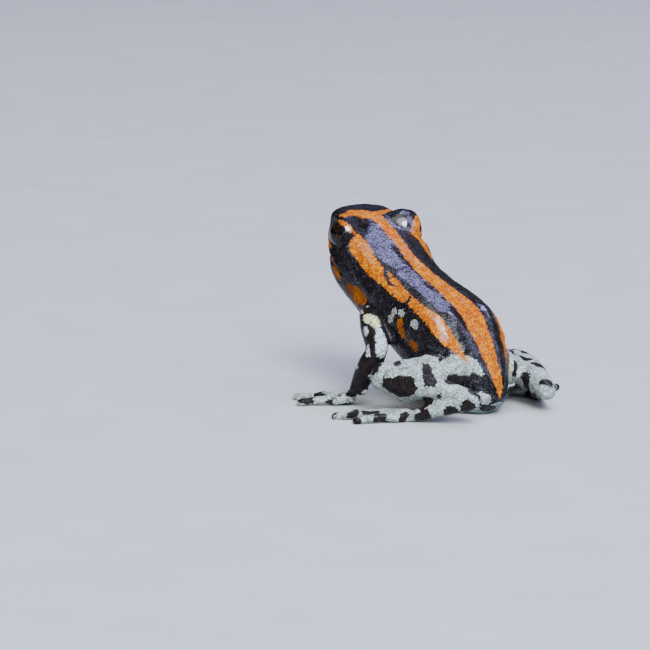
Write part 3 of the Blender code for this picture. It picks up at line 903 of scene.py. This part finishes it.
# Dark spots on the pale left leg and arm, which also paint shade where the thigh's two arches meet and along
# its lower edges, its brownish stretch, and the pale marks on its thigh.
LEG_SPOTS_AND_SHADE = [
    ([9.5, 12.5, 11.0], [(392, 386), (399, 387), (406, 387)]),
    # Painted shade: the dark run where the thigh's two arches meet.
    ([3.5, 6.0, 8.0], [(425, 366), (427, 372), (430, 380)]),
    ([7.0, 9.0, 7.0], [(451, 382), (458, 383), (466, 383)]),
    ([5.0, 5.0], [(478, 378), (483, 384)]),
    ([3.2, 3.2], [(523, 358), (530, 359.5)]),
    ([3.4, 3.8, 3.4], [(515.5, 363), (514.5, 374), (515, 387)]),
    ([6.0, 7.2, 7.0], [(525, 376), (526, 381), (526, 386)]),
    ([3.8, 4.0, 3.6], [(534, 363), (539, 365), (544, 368)]),
    ([6.0, 6.2], [(544, 382), (549, 382)]),
    ([2.4, 2.4], [(388, 340), (389, 342)]),
]
WARM_MARKS = [([3.6, 3.6, 3.6], [(510, 358), (510, 370), (510, 384)])]
THIGH_MARKS = [
    ([5.5, 6.5, 6.5, 5.5, 4.5], [(438, 369), (448, 362), (462, 360), (474, 364), (481, 374)]),
    ([3.0, 5.5, 5.5], [(477, 393), (482, 397), (487, 400)]),
]
# Where the skin carries the most water, and where it has dried.
WET_MARKS = [
    ([2.5, 4.6, 4.6, 3.0], [(429, 306), (435, 319), (440.5, 331), (444, 338)]),
    ([2.5, 4.0, 3.0], [(362, 244), (368, 254), (372, 263)]),
    ([1.5, 1.9], [(347, 228), (352, 234)]),
    ([2.6, 3.2], [(450, 313.5), (457, 317)]),
    ([4.0, 4.5], [(485, 308), (489, 314)]),
    ([7.0, 9.5, 9.0], [(397, 217), (404, 222), (411, 229)]),
]
DRY_MARKS = [([4.0, 6.0, 6.0, 4.5], [(449, 317), (454, 327), (458, 337), (464, 347)])]
# How much of its film of water the skin round each eye keeps.
LID_FILMS = {"left": 0.2, "right": 1.2}
# A limb is an arm ahead of the first of these places, and above the second it isn't a hand.
ARMS_AHEAD_OF = 4.9
HANDS_BELOW = 0.6
# Blots where the photograph shows none: spacing, smallest and largest radius, and seed.
LEG_BLOTS = (0.98, 0.30, 0.52, 41)
ARM_BLOTS = (0.80, 0.20, 0.36, 43)
BELLY_BLOTS = (1.20, 0.36, 0.66, 45)


def pixels_on_skin(tree, corners):
    """Where the pixels of the photograph fall on the skin, or beside it on what is nearest."""
    eye = view_eye()
    found = []
    for px, py in corners:
        way = (view_point(px, py) - eye).normalized()
        hit = tree.ray_cast(eye, way)[0]
        if hit is None:
            beside = [tree.find_nearest(eye + way * (VIEW_DISTANCE + step)) for step in range(-10, 16)]
            hit = min(beside, key=lambda near: near[3])[0]
        found.append(hit)
    return found


def band(points, keys, side=1):
    """A stripe along the trunk between two edges given as angles over the left side."""
    rows = spaced(keys, 160)
    edges = [trunk_points(rows[:, 0], np.radians(rows[:, k]) * side) for k in (1, 2)]
    half = np.linalg.norm(edges[0] - edges[1], axis=1) / 2
    middle = trunk_points(rows[:, 0], np.radians((rows[:, 1] + rows[:, 2]) / 2) * side)
    far, which = distances(points, middle, 2.0)
    return half[which] - far


def run(points, line, widths):
    """A mark along a row of points whose half widths go from the first of the widths to the last."""
    far, which = distances(points, line, MARK_REACH)
    return np.interp(which / max(len(line) - 1, 1), np.linspace(0, 1, len(widths)), widths) - far


def marks_on_skin(points, tree, marks, mirror=False):
    """The marks of one kind, and if asked their mirror images on the right of the trunk."""
    field = np.full(len(points), -MARK_REACH)
    for widths, corners in marks:
        line = polyline(pixels_on_skin(tree, corners))
        widths = np.array(widths) / PIXELS_PER_MM
        field = np.maximum(field, run(points, line, widths))
        if mirror:
            t, angle = trunk_coordinates(line)
            field = np.maximum(field, run(points, trunk_points(t, -angle), widths))
    return field


def scattered(points, region, spacing, seed):
    """Places at least spacing mm apart among a region's points."""
    tries = 6000
    order = np.random.default_rng(seed).permutation(np.flatnonzero(region))[:tries]
    chosen = points[order[:1]]
    for spot in points[order]:
        if ((chosen - spot) ** 2).sum(axis=1).min() > spacing**2:
            chosen = np.vstack([chosen, spot])
    return chosen


def blots(points, region, spacing, small, large, seed):
    """Rounded blots scattered over a region, as a signed distance."""
    middles = scattered(points, region, spacing, seed)
    sizes = np.random.default_rng(seed + 1).uniform(small, large, len(middles))
    warp = np.stack([noise(points, spacing * 0.8, seed + 2 + axis) for axis in range(3)], axis=1)
    far, which = distances(points + warp * spacing * 0.28, middles, 2.0)
    return sizes[which] - far


def mirrored_in_head(points):
    """The mirror image of places on the head, on its other side."""
    left = np.array(head_way(1, 0, 0))
    aside = (points - np.array(in_head(0, *MOUTH_CORNER))) @ left
    return points - 2 * aside[:, None] * left


def lip_stripe(points):
    """The stripe on the upper lip."""
    lip = np.array(LIP_STRIPE)
    ahead = along_mouth(points)
    rise, half = (np.interp(ahead, lip[:, 0], lip[:, k]) for k in (1, 2))
    inside = (ahead > lip[0, 0]) & (ahead < lip[-1, 0] + 0.15)
    return np.where(inside, half - np.abs(over_mouth(points) - rise), -MARK_REACH)


def stripes(points, tree):
    """The orange stripes and marks, and how much painted shade darkens the marks."""
    field = band(points, MEDIAN)
    right_arc = [tree.find_nearest(spot)[0] for spot in line_on_trunk(RIGHT_BROW_ARC)]
    left_arc = pixels_on_skin(tree, LEFT_BROW_ARC)
    for arc, widths in ((left_arc, LEFT_ARC_WIDTHS), (right_arc, RIGHT_ARC_WIDTHS)):
        field = np.maximum(field, run(points, polyline(arc), widths))
    lid = polyline(pixels_on_skin(tree, LID_STRIPE))
    for word, side in SIDES.items():
        field = np.maximum(field, band(points, FLANKING[word], side))
        line = lid if side > 0 else mirrored_in_head(lid)
        field = np.maximum(field, run(points, line, LID_STRIPE_WIDTHS[word]))
    spots = marks_on_skin(points, tree, ORANGE_MARKS, mirror=True)
    # Painted shade: the orange marks on the flanks turn patchily brown, as the flank lies in shade.
    mark_shade = smoothstep(-0.10, 0.02, spots) * (0.6 + 0.4 * smoothstep(-0.3, 0.3, noise(points, 0.6, 23)))
    field = np.maximum(np.maximum(field, spots), lip_stripe(points))
    cuts = marks_on_skin(points, tree, STRIPE_CUTS)
    field = field + 0.05 * noise(points, 0.45, 21) + 0.03 * noise(points, 0.22, 22)
    return np.minimum(field, -cuts), mark_shade


def underside(points, lean, limb):
    """1 on the belly, the throat and the lower jaw, and 0 elsewhere."""
    under = smoothstep(math.radians(108), math.radians(128), lean) * (1 - limb)
    jaw = smoothstep(-0.10, -0.45, over_mouth(points) + 0.08 * noise(points, 0.6, 33))
    return np.where(along_mouth(points) > -0.3, np.minimum(under, jaw), under)


def pale_ground(points, tree, limb, under, seen_arm, cream):
    """The pale ground of limbs and belly: spotted as seen on the left, and with blots elsewhere."""
    arm = (limb > 0.5) & (-points[:, 1] > ARMS_AHEAD_OF) & (points[:, 2] > HANDS_BELOW)
    leg_field = -blots(points, (limb > 0.5) & ~arm, *LEG_BLOTS)
    arm_field = blots(points, arm, *ARM_BLOTS)
    belly_field = -blots(points, under > 0.5, *BELLY_BLOTS)
    # The leg's dark spots, with painted shade between the thigh's arches and along its lower edges.
    leg_spots_and_shade = marks_on_skin(points, tree, LEG_SPOTS_AND_SHADE)
    known_arm = smoothstep(-0.75, -0.45, np.maximum(seen_arm, cream))
    known_leg = smoothstep(-0.80, -0.40, leg_spots_and_shade)
    pale = np.where(arm, arm_field, leg_field)
    pale = pale + (-0.25 - pale) * known_arm * arm
    pale = pale + (0.15 - pale) * known_leg * ~arm
    pale = np.maximum(pale, np.maximum(seen_arm, cream))
    spotted = ~arm | ((leg_spots_and_shade > -0.2) & (seen_arm > -0.3))
    pale = np.where(spotted, np.minimum(pale, -leg_spots_and_shade), pale)
    pale = np.minimum(pale, (limb - 0.5) * 0.8)
    pale = np.maximum(pale, np.minimum(belly_field, (under - 0.5) * 0.8))
    return np.maximum(pale, marks_on_skin(points, tree, THIGH_MARKS))


def wetness(points, tree, t, lean, limb):
    """How much water the skin carries: less low on the flanks, on snout and limbs, and where it has dried."""
    wet = 1 - 0.55 * smoothstep(math.radians(58), math.radians(80), lean)
    wet *= 1 - 0.75 * smoothstep(10.9, 11.8, t)
    wet *= 1 - 0.65 * limb
    for word, side in SIDES.items():
        radius = np.linalg.norm(points - np.array(eye_middle(side)), axis=1)
        wet *= 1 + (LID_FILMS[word] - 1) * (1 - smoothstep(1.25, 1.7, radius))
    wet *= 1 - 0.8 * smoothstep(-0.12, 0.08, marks_on_skin(points, tree, DRY_MARKS))
    return np.clip(wet, 0, 1)


def paint_fields(skin):
    """Writes the markings on the skin's points, each under the name that the material reads."""
    mesh = skin.data
    points = points_of(mesh)
    tree = BVHTree.FromPolygons(points.tolist(), [list(polygon.vertices) for polygon in mesh.polygons])
    t, angle, off_trunk, off_limb = part_shares(points)
    limb = smoothstep(-0.15, 0.30, off_trunk - off_limb)
    lean = np.abs(angle)
    under = underside(points, lean, limb)
    orange, mark_shade = stripes(points, tree)
    orange = np.where(limb > 0.5, np.minimum(orange, 0.3 - limb), orange)

    wobble = 0.10 * noise(points, 0.5, 31) + 0.05 * noise(points, 0.25, 32)
    seen_arm = marks_on_skin(points, tree, ARM_MARKS)
    cream = marks_on_skin(points, tree, CREAM_MARKS)
    beige = marks_on_skin(points, tree, PALE_MARKS, mirror=True)
    pale = np.maximum(pale_ground(points, tree, limb, under, seen_arm, cream), beige) + wobble

    brownish = 0.75 * smoothstep(-0.1, 0.1, marks_on_skin(points, tree, WARM_MARKS))
    warm = np.maximum(smoothstep(-0.06, 0.06, cream), brownish)
    throat = under * smoothstep(8.6, 10.2, t)
    fields = {
        "orange": orange,
        "mark_shade": mark_shade,
        "pale": pale,
        "warm": np.maximum(warm, throat),
        "beige": smoothstep(-0.1, 0.1, beige),
        "under": under,
        "limb": limb,
        "wet": wetness(points, tree, t, lean, limb),
        "water": smoothstep(-0.10, 0.06, marks_on_skin(points, tree, WET_MARKS)),
        "pearl": smoothstep(-0.1, 0.1, seen_arm),
    }
    for name, values in fields.items():
        write_field(mesh, name, values)


# Materials.

# The sockets of a Mix node that hold colours.
COLOUR_A, COLOUR_B, COLOUR_OUT = 6, 7, 2

# Colours of the skin besides those that its settings hold.
BLACK_DEEP = (0.0025, 0.002, 0.0025)
BLACK_LIGHT = (0.009, 0.007, 0.008)
# Pale bluish flecks on the black: pale granule tips, and painted glints of light.
BLACK_FLECKS_AND_GLINTS = (0.12, 0.12, 0.17)
ORANGE_PORES = (0.24, 0.035, 0.0)
# Brown that paints shade on the orange marks of the flanks.
ORANGE_IN_SHADE = (0.115, 0.026, 0.0)
BELLY_BLUE = (0.20, 0.28, 0.32)
FLANK_BEIGE = (0.33, 0.30, 0.24)
ARM_PEARL = (0.84, 0.91, 0.98)
MINT_SPECKS = (0.08, 0.09, 0.07)
LIMB_BROWN = (0.014, 0.009, 0.007)
# Colours of the eye and the floor.
IRIS_BROWN = (0.004, 0.003, 0.0025)
PUPIL_BLACK = (0.0015, 0.0015, 0.002)
FLOOR_GREY = (0.475, 0.475, 0.445)
FLOOR_PALE = (0.525, 0.525, 0.495)


class Wire:
    """An output socket in a material. Sums written on it add Math nodes."""

    def __init__(self, paint, socket):
        self.paint = paint
        self.socket = socket

    def __add__(self, other):
        return self.paint.math("ADD", self, other)

    __radd__ = __add__

    def __sub__(self, other):
        return self.paint.math("SUBTRACT", self, other)

    def __rsub__(self, other):
        return self.paint.math("SUBTRACT", other, self)

    def __mul__(self, other):
        return self.paint.math("MULTIPLY", self, other)

    __rmul__ = __mul__

    def __truediv__(self, other):
        return self.paint.math("DIVIDE", self, other)

    def __rtruediv__(self, other):
        return self.paint.math("DIVIDE", other, self)

    def __pow__(self, other):
        return self.paint.math("POWER", self, other)

    def over(self, other):
        """The larger of the two."""
        return self.paint.math("MAXIMUM", self, other)

    def under(self, other):
        """The smaller of the two."""
        return self.paint.math("MINIMUM", self, other)

    def step(self, low, high):
        """0 below low, 1 above high, and smooth between."""
        return self.paint.node(
            "ShaderNodeMapRange",
            {"interpolation_type": "SMOOTHSTEP"},
            {"Value": self, "From Min": low, "From Max": high},
        )


class Paint:
    """A material whose nodes are added one after another."""

    def __init__(self, name):
        self.material = bpy.data.materials.new(name)
        self.material.use_nodes = True
        self.tree = self.material.node_tree
        self.shader = self.tree.nodes["Principled BSDF"]

    def node(self, kind, settings=None, values=None, output=0):
        """Adds a node, sets its settings first, then its sockets, and gives one of its outputs."""
        made = self.tree.nodes.new(kind)
        for name, value in (settings or {}).items():
            setattr(made, name, value)
        self.fill(made, values or {})
        return Wire(self, made.outputs[output])

    def fill(self, node, values):
        """Links or sets the sockets of a node."""
        for name, value in values.items():
            if isinstance(value, Wire):
                self.tree.links.new(value.socket, node.inputs[name])
            else:
                node.inputs[name].default_value = value

    def math(self, operation, first, second):
        return self.node("ShaderNodeMath", {"operation": operation}, {0: first, 1: second})

    def mix(self, share, first, second):
        """A colour between two colours."""
        first, second = (value if isinstance(value, Wire) else (*value, 1) for value in (first, second))
        values = {"Factor": share, COLOUR_A: first, COLOUR_B: second}
        return self.node("ShaderNodeMix", {"data_type": "RGBA"}, values, output=COLOUR_OUT)

    def field(self, name):
        """One of the numbers kept on the points."""
        return self.node("ShaderNodeAttribute", {"attribute_name": name}, output="Fac")

    def places(self):
        return self.node("ShaderNodeTexCoord", output="Object")

    def noise(self, size, detail=2.0, roughness=0.5):
        """Noise with blobs about size mm across."""
        values = {"Vector": self.places(), "Scale": 1 / (size * MM), "Detail": detail, "Roughness": roughness}
        return self.node("ShaderNodeTexNoise", None, values)

    def grain(self, size, smooth=0.3):
        """Round grains about size mm apart: 1 in their middles and 0 between them."""
        values = {"Vector": self.places(), "Scale": 1 / (size * MM), "Smoothness": smooth}
        far = self.node("ShaderNodeTexVoronoi", {"feature": "SMOOTH_F1"}, values)
        return (1 - far * 1.25).over(0.0)

    def bump(self, height, depth):
        """A normal for a surface of that height, depth mm high."""
        values = {"Height": height, "Distance": depth * MM, "Strength": 1.0}
        return self.node("ShaderNodeBump", None, values)

    def finish(self, values):
        """Fills the shader and gives the material."""
        self.fill(self.shader, values)
        return self.material


def skin_material(settings):
    """Black skin with orange stripes and pale spotted limbs, under a film of water."""
    paint = Paint("wet granular skin")
    orange, pale, warm = (paint.field(name) for name in ("orange", "pale", "warm"))
    under, beige, limb, wet = (paint.field(name) for name in ("under", "beige", "limb", "wet"))
    mark_shade, water, pearl = (paint.field(name) for name in ("mark_shade", "water", "pearl"))
    fine = paint.noise(0.10, 3.0, 0.6)
    soft = paint.noise(0.45, 3.0, 0.55)
    broad = paint.noise(1.6, 2.0)
    grain = paint.grain(0.16)
    small = paint.grain(0.10, 0.1)

    # The markings' edges follow the grains.
    specks = small.step(0.38, 0.52) * fine.step(0.50, 0.58)
    edge = (fine - 0.5) * 0.22 + (grain - 0.45) * 0.12
    is_orange = (orange.under(0.20) + edge - specks * 0.30).step(-0.03, 0.03)
    is_pale = (pale.under(0.25) + edge * 0.9 - specks * 0.25).step(-0.04, 0.05)

    black = paint.mix((soft * 0.8 + broad * 0.4).step(0.35, 0.85), BLACK_DEEP, BLACK_LIGHT)
    # Sparse pale flecks on the black skin, partly painted glints.
    flecks = (small * 0.4 + fine * 0.8 + soft * 0.4).step(0.86, 0.98)
    black = paint.mix(flecks * 0.4, black, BLACK_FLECKS_AND_GLINTS)

    glow = (soft * 0.9 + grain * 0.3).step(0.42, 0.74)
    bright = paint.mix(glow, settings.orange_deep, settings.orange_light)
    pores = (1 - small * 0.7 - (1 - fine) * 0.5).step(0.36, 0.58)
    bright = paint.mix(pores * 0.7, bright, ORANGE_PORES)
    # Painted shade: the flank's orange marks are darkened towards brown.
    bright = paint.mix(mark_shade * 0.9, bright, ORANGE_IN_SHADE)

    mint = paint.mix((soft * 0.7 + fine * 0.3).step(0.3, 0.7), settings.mint_deep, settings.mint_light)
    for share, tint in ((under * 0.8, BELLY_BLUE), (beige * 0.8, FLANK_BEIGE), (pearl * 0.7, ARM_PEARL)):
        mint = paint.mix(share, mint, tint)
    mint = paint.mix(warm, mint, settings.cream)
    mint = paint.mix((fine * 0.6 + grain * 0.3).step(0.54, 0.34) * 0.6, mint, MINT_SPECKS)
    brown = paint.mix(limb * 0.7, black, LIMB_BROWN)

    colour = paint.mix(is_pale, brown, mint)
    colour = paint.mix(is_orange, colour, bright)
    # Water lies on the black skin, and hardly on the paler markings.
    film = (small * 0.35 + fine * 0.6 + soft * 0.35).step(0.44, 0.82) * 0.85 + 0.15
    dull = is_orange.over(is_pale * 0.8)
    rough = 0.30 + (soft - 0.5) * 0.2 + (fine - 0.5) * 0.25 + dull * 0.28
    height = grain * 0.9 + small * 0.5 + fine * 0.4 + soft * 0.3
    return paint.finish(
        {
            "Base Color": colour,
            "Roughness": rough,
            "Specular IOR Level": 0.06,
            "Coat Weight": (film * wet * (0.6 - dull * 0.57)).over(water * (film * 0.4 + 0.6)),
            "Coat Roughness": 0.16,
            "Coat IOR": 2.0,
            "Normal": paint.bump(height, settings.grain_depth),
        }
    )


def eye_material(settings):
    """A dark iris with bronze flecks round a wide pupil, under the wet cornea."""
    paint = Paint("wet eye")
    fore, rise = paint.field("fore"), paint.field("rise")
    turn = (fore**2 + rise**2) ** 0.5
    pupil = ((fore / 0.42) ** 2 + (rise / 0.30) ** 2) ** 0.5
    flecks = paint.noise(0.09, 3.0, 0.6)
    veins = paint.noise(0.035, 2.0, 0.6)
    gold = (flecks * 0.6 + veins * 0.4).step(0.5, 0.68) * turn.step(0.98, 0.62)
    iris = paint.mix(gold * 0.7, IRIS_BROWN, settings.bronze)
    ring = pupil.step(0.98, 1.05) * pupil.step(1.30, 1.12)
    iris = paint.mix(ring * 0.3, iris, settings.bronze)
    colour = paint.mix(pupil.step(0.95, 1.03), PUPIL_BLACK, iris)
    return paint.finish(
        {
            "Base Color": colour,
            "Roughness": 0.12 + flecks * 0.06,
            "Specular IOR Level": 0.05,
            "Coat Weight": 0.45,
            "Coat Roughness": 0.06,
            "Normal": paint.bump(flecks, 0.002),
        }
    )


def floor_material():
    """A matt floor, a little cloudy."""
    paint = Paint("pale studio floor")
    cloud = paint.noise(6.0, 3.0, 0.6)
    speck = paint.noise(0.5, 2.0)
    return paint.finish(
        {
            "Base Color": paint.mix((cloud * 0.7 + speck * 0.3).step(0.3, 0.7), FLOOR_GREY, FLOOR_PALE),
            "Roughness": 0.7 + (speck - 0.5) * 0.1,
            "Normal": paint.bump(speck, 0.01),
        }
    )


# The pieces.


def add_eye(side):
    """One eyeball, poles along the way it looks, with a cornea that swells a little."""
    look, fore, rise = eye_axes(side)
    deselect()
    bpy.ops.mesh.primitive_uv_sphere_add(segments=72, ring_count=48, radius=EYE_RADIUS)
    eye = bpy.context.object
    mesh = eye.data
    points = points_of(mesh)
    turn = np.arccos(np.clip(points[:, 2] / EYE_RADIUS, -1, 1))
    cornea = 1 + 0.045 * np.clip(1 - (turn / 0.85) ** 2, 0, 1) ** 2
    axes = np.array([fore, rise, look])
    set_points(mesh, (points * cornea[:, None]) @ axes + np.array(eye_middle(side)))
    _, along, aside = eye_angles(points_of(mesh), side)
    write_field(mesh, "fore", along)
    write_field(mesh, "rise", aside)
    return eye


class FrogSkinSettings(bpy.types.PropertyGroup):
    voxel: bpy.props.FloatProperty(
        name="Mesh size", description="Size of the skin's faces in mm", default=0.098
    )
    bridge: bpy.props.FloatProperty(
        name="Bridge", description="Half of the widest cut that is closed, in mm", default=0.19
    )
    smoothing: bpy.props.IntProperty(name="Smoothing", description="Rounds of smoothing", default=14)
    brow_smoothing: bpy.props.IntProperty(
        name="Brow smoothing", description="Rounds that blend the brows into the head", default=24
    )
    grain_depth: bpy.props.FloatProperty(
        name="Grain depth", description="Height of the skin's fine grains in mm", default=0.04
    )
    orange_deep: bpy.props.FloatVectorProperty(
        name="Deep orange",
        description="Darker colour of the stripes",
        subtype="COLOR",
        default=(0.48, 0.12, 0.0),
    )
    orange_light: bpy.props.FloatVectorProperty(
        name="Light orange",
        description="Lighter colour of the stripes",
        subtype="COLOR",
        default=(0.80, 0.30, 0.0),
    )
    mint_deep: bpy.props.FloatVectorProperty(
        name="Deep mint",
        description="Darker ground colour of the legs",
        subtype="COLOR",
        default=(0.33, 0.40, 0.34),
    )
    mint_light: bpy.props.FloatVectorProperty(
        name="Light mint",
        description="Lighter ground colour of the legs",
        subtype="COLOR",
        default=(0.62, 0.70, 0.63),
    )
    cream: bpy.props.FloatVectorProperty(
        name="Cream",
        description="Colour of the patch on the arm",
        subtype="COLOR",
        default=(0.90, 0.86, 0.42),
    )


class FrogEyeSettings(bpy.types.PropertyGroup):
    bronze: bpy.props.FloatVectorProperty(
        name="Bronze",
        description="Colour of the flecks in the iris",
        subtype="COLOR",
        default=(0.05, 0.026, 0.011),
    )


class FROG_OT_skin(bpy.types.Operator):
    """Builds the frog's skin over its flesh nodes"""

    bl_idname = "frog.skin"
    bl_label = "Skin"

    def execute(self, context):
        settings = context.scene.frog_skin
        skin = build_skin_shape(settings)
        paint_fields(skin)
        into_frame(skin)
        skin.data.materials.clear()
        skin.data.materials.append(skin_material(settings))
        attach(skin, "root")
        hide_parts(*TRUNK_NODES, *LIMB_NODES)
        return {"FINISHED"}


class FROG_OT_eyes(bpy.types.Operator):
    """Builds the two eyeballs"""

    bl_idname = "frog.eyes"
    bl_label = "Eyes"

    def execute(self, context):
        material = eye_material(context.scene.frog_eyes)
        for word, side in SIDES.items():
            eye = add_eye(side)
            eye.name = f"eyeball_{word}"
            into_frame(eye)
            eye.data.materials.append(material)
            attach(eye, "root")
            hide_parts(f"eye_{word}")
        return {"FINISHED"}


# Azimuth and elevation in degrees, distance, width and height in m, power in W, and colour.
SOFTBOXES = [
    (301, 63, 0.64, 0.30, 0.30, 2.8, (0.50, 0.49, 1.0)),
    (143, 47, 0.80, 0.60, 0.84, 8.0, (0.84, 0.84, 1.0)),
    (156, 42, 0.60, 0.20, 0.28, 5.2, (0.74, 0.84, 1.0)),
    (218, 45, 0.80, 0.66, 0.70, 4.6, (0.58, 0.60, 1.0)),
    (80, 74, 0.90, 0.70, 0.70, 1.7, (1.0, 0.97, 0.92)),
]
LAMP_AIM = Vector((0, 0, 0.004))
STUDIO_COLOUR = (0.86, 0.88, 0.92, 1)
STUDIO_STRENGTH = 0.11
SENSOR_WIDTH = 36
NEAREST_SEEN = 0.001


def add_softbox(azimuth, elevation, distance, width, height, power, colour):
    """A rectangular area light that looks at the frog."""
    deselect()
    stand = direction(azimuth, elevation) * distance
    bpy.ops.object.light_add(type="AREA", location=stand)
    lamp = bpy.context.object
    lamp.data.shape = "RECTANGLE"
    lamp.data.size = width
    lamp.data.size_y = height
    lamp.data.energy = power
    lamp.data.color = colour
    lamp.rotation_euler = (stand - LAMP_AIM).to_track_quat("Z", "Y").to_euler()


class FROG_OT_stage(bpy.types.Operator):
    """Builds the floor, the studio lights and the camera"""

    bl_idname = "frog.stage"
    bl_label = "Stage"

    def execute(self, context):
        deselect()
        bpy.ops.mesh.primitive_plane_add(size=2, location=(0, 0, 0))
        floor = context.object
        floor.name = "floor"
        floor.data.materials.append(floor_material())
        for softbox in SOFTBOXES:
            add_softbox(*softbox)
        right, up, back = view_axes()
        deselect()
        bpy.ops.object.camera_add(location=(view_eye() - SHIFT) * MM)
        camera = context.object
        camera.rotation_euler = Matrix((right, up, back)).transposed().to_euler()
        camera.data.sensor_width = SENSOR_WIDTH
        camera.data.lens = SENSOR_WIDTH * VIEW_DISTANCE * PIXELS_PER_MM / PICTURE
        camera.data.clip_start = NEAREST_SEEN
        context.scene.camera = camera
        world = bpy.data.worlds.new("studio")
        world.use_nodes = True
        background = world.node_tree.nodes["Background"]
        background.inputs["Color"].default_value = STUDIO_COLOUR
        background.inputs["Strength"].default_value = STUDIO_STRENGTH
        context.scene.world = world
        return {"FINISHED"}


class FROG_PT_panel(bpy.types.Panel):
    """Lists the steps that build the frog"""

    bl_label = "Poison Frog"
    bl_idname = "FROG_PT_panel"
    bl_space_type = "VIEW_3D"
    bl_region_type = "UI"
    bl_category = "Poison Frog"

    def draw(self, context):
        for settings in (context.scene.frog_skin, context.scene.frog_eyes):
            for name in settings.__annotations__:
                self.layout.prop(settings, name)
        for step in (FROG_OT_skin, FROG_OT_eyes, FROG_OT_stage):
            self.layout.operator(step.bl_idname)


CLASSES = (FrogSkinSettings, FrogEyeSettings, FROG_OT_skin, FROG_OT_eyes, FROG_OT_stage, FROG_PT_panel)


def register():
    for item in CLASSES:
        bpy.utils.register_class(item)
    bpy.types.Scene.frog_skin = bpy.props.PointerProperty(type=FrogSkinSettings)
    bpy.types.Scene.frog_eyes = bpy.props.PointerProperty(type=FrogEyeSettings)


def unregister():
    del bpy.types.Scene.frog_skin
    del bpy.types.Scene.frog_eyes
    for item in reversed(CLASSES):
        bpy.utils.unregister_class(item)


def main():
    register()
    bpy.ops.frog.skin()
    bpy.ops.frog.eyes()
    bpy.ops.frog.stage()


if __name__ == "__main__":
    main()
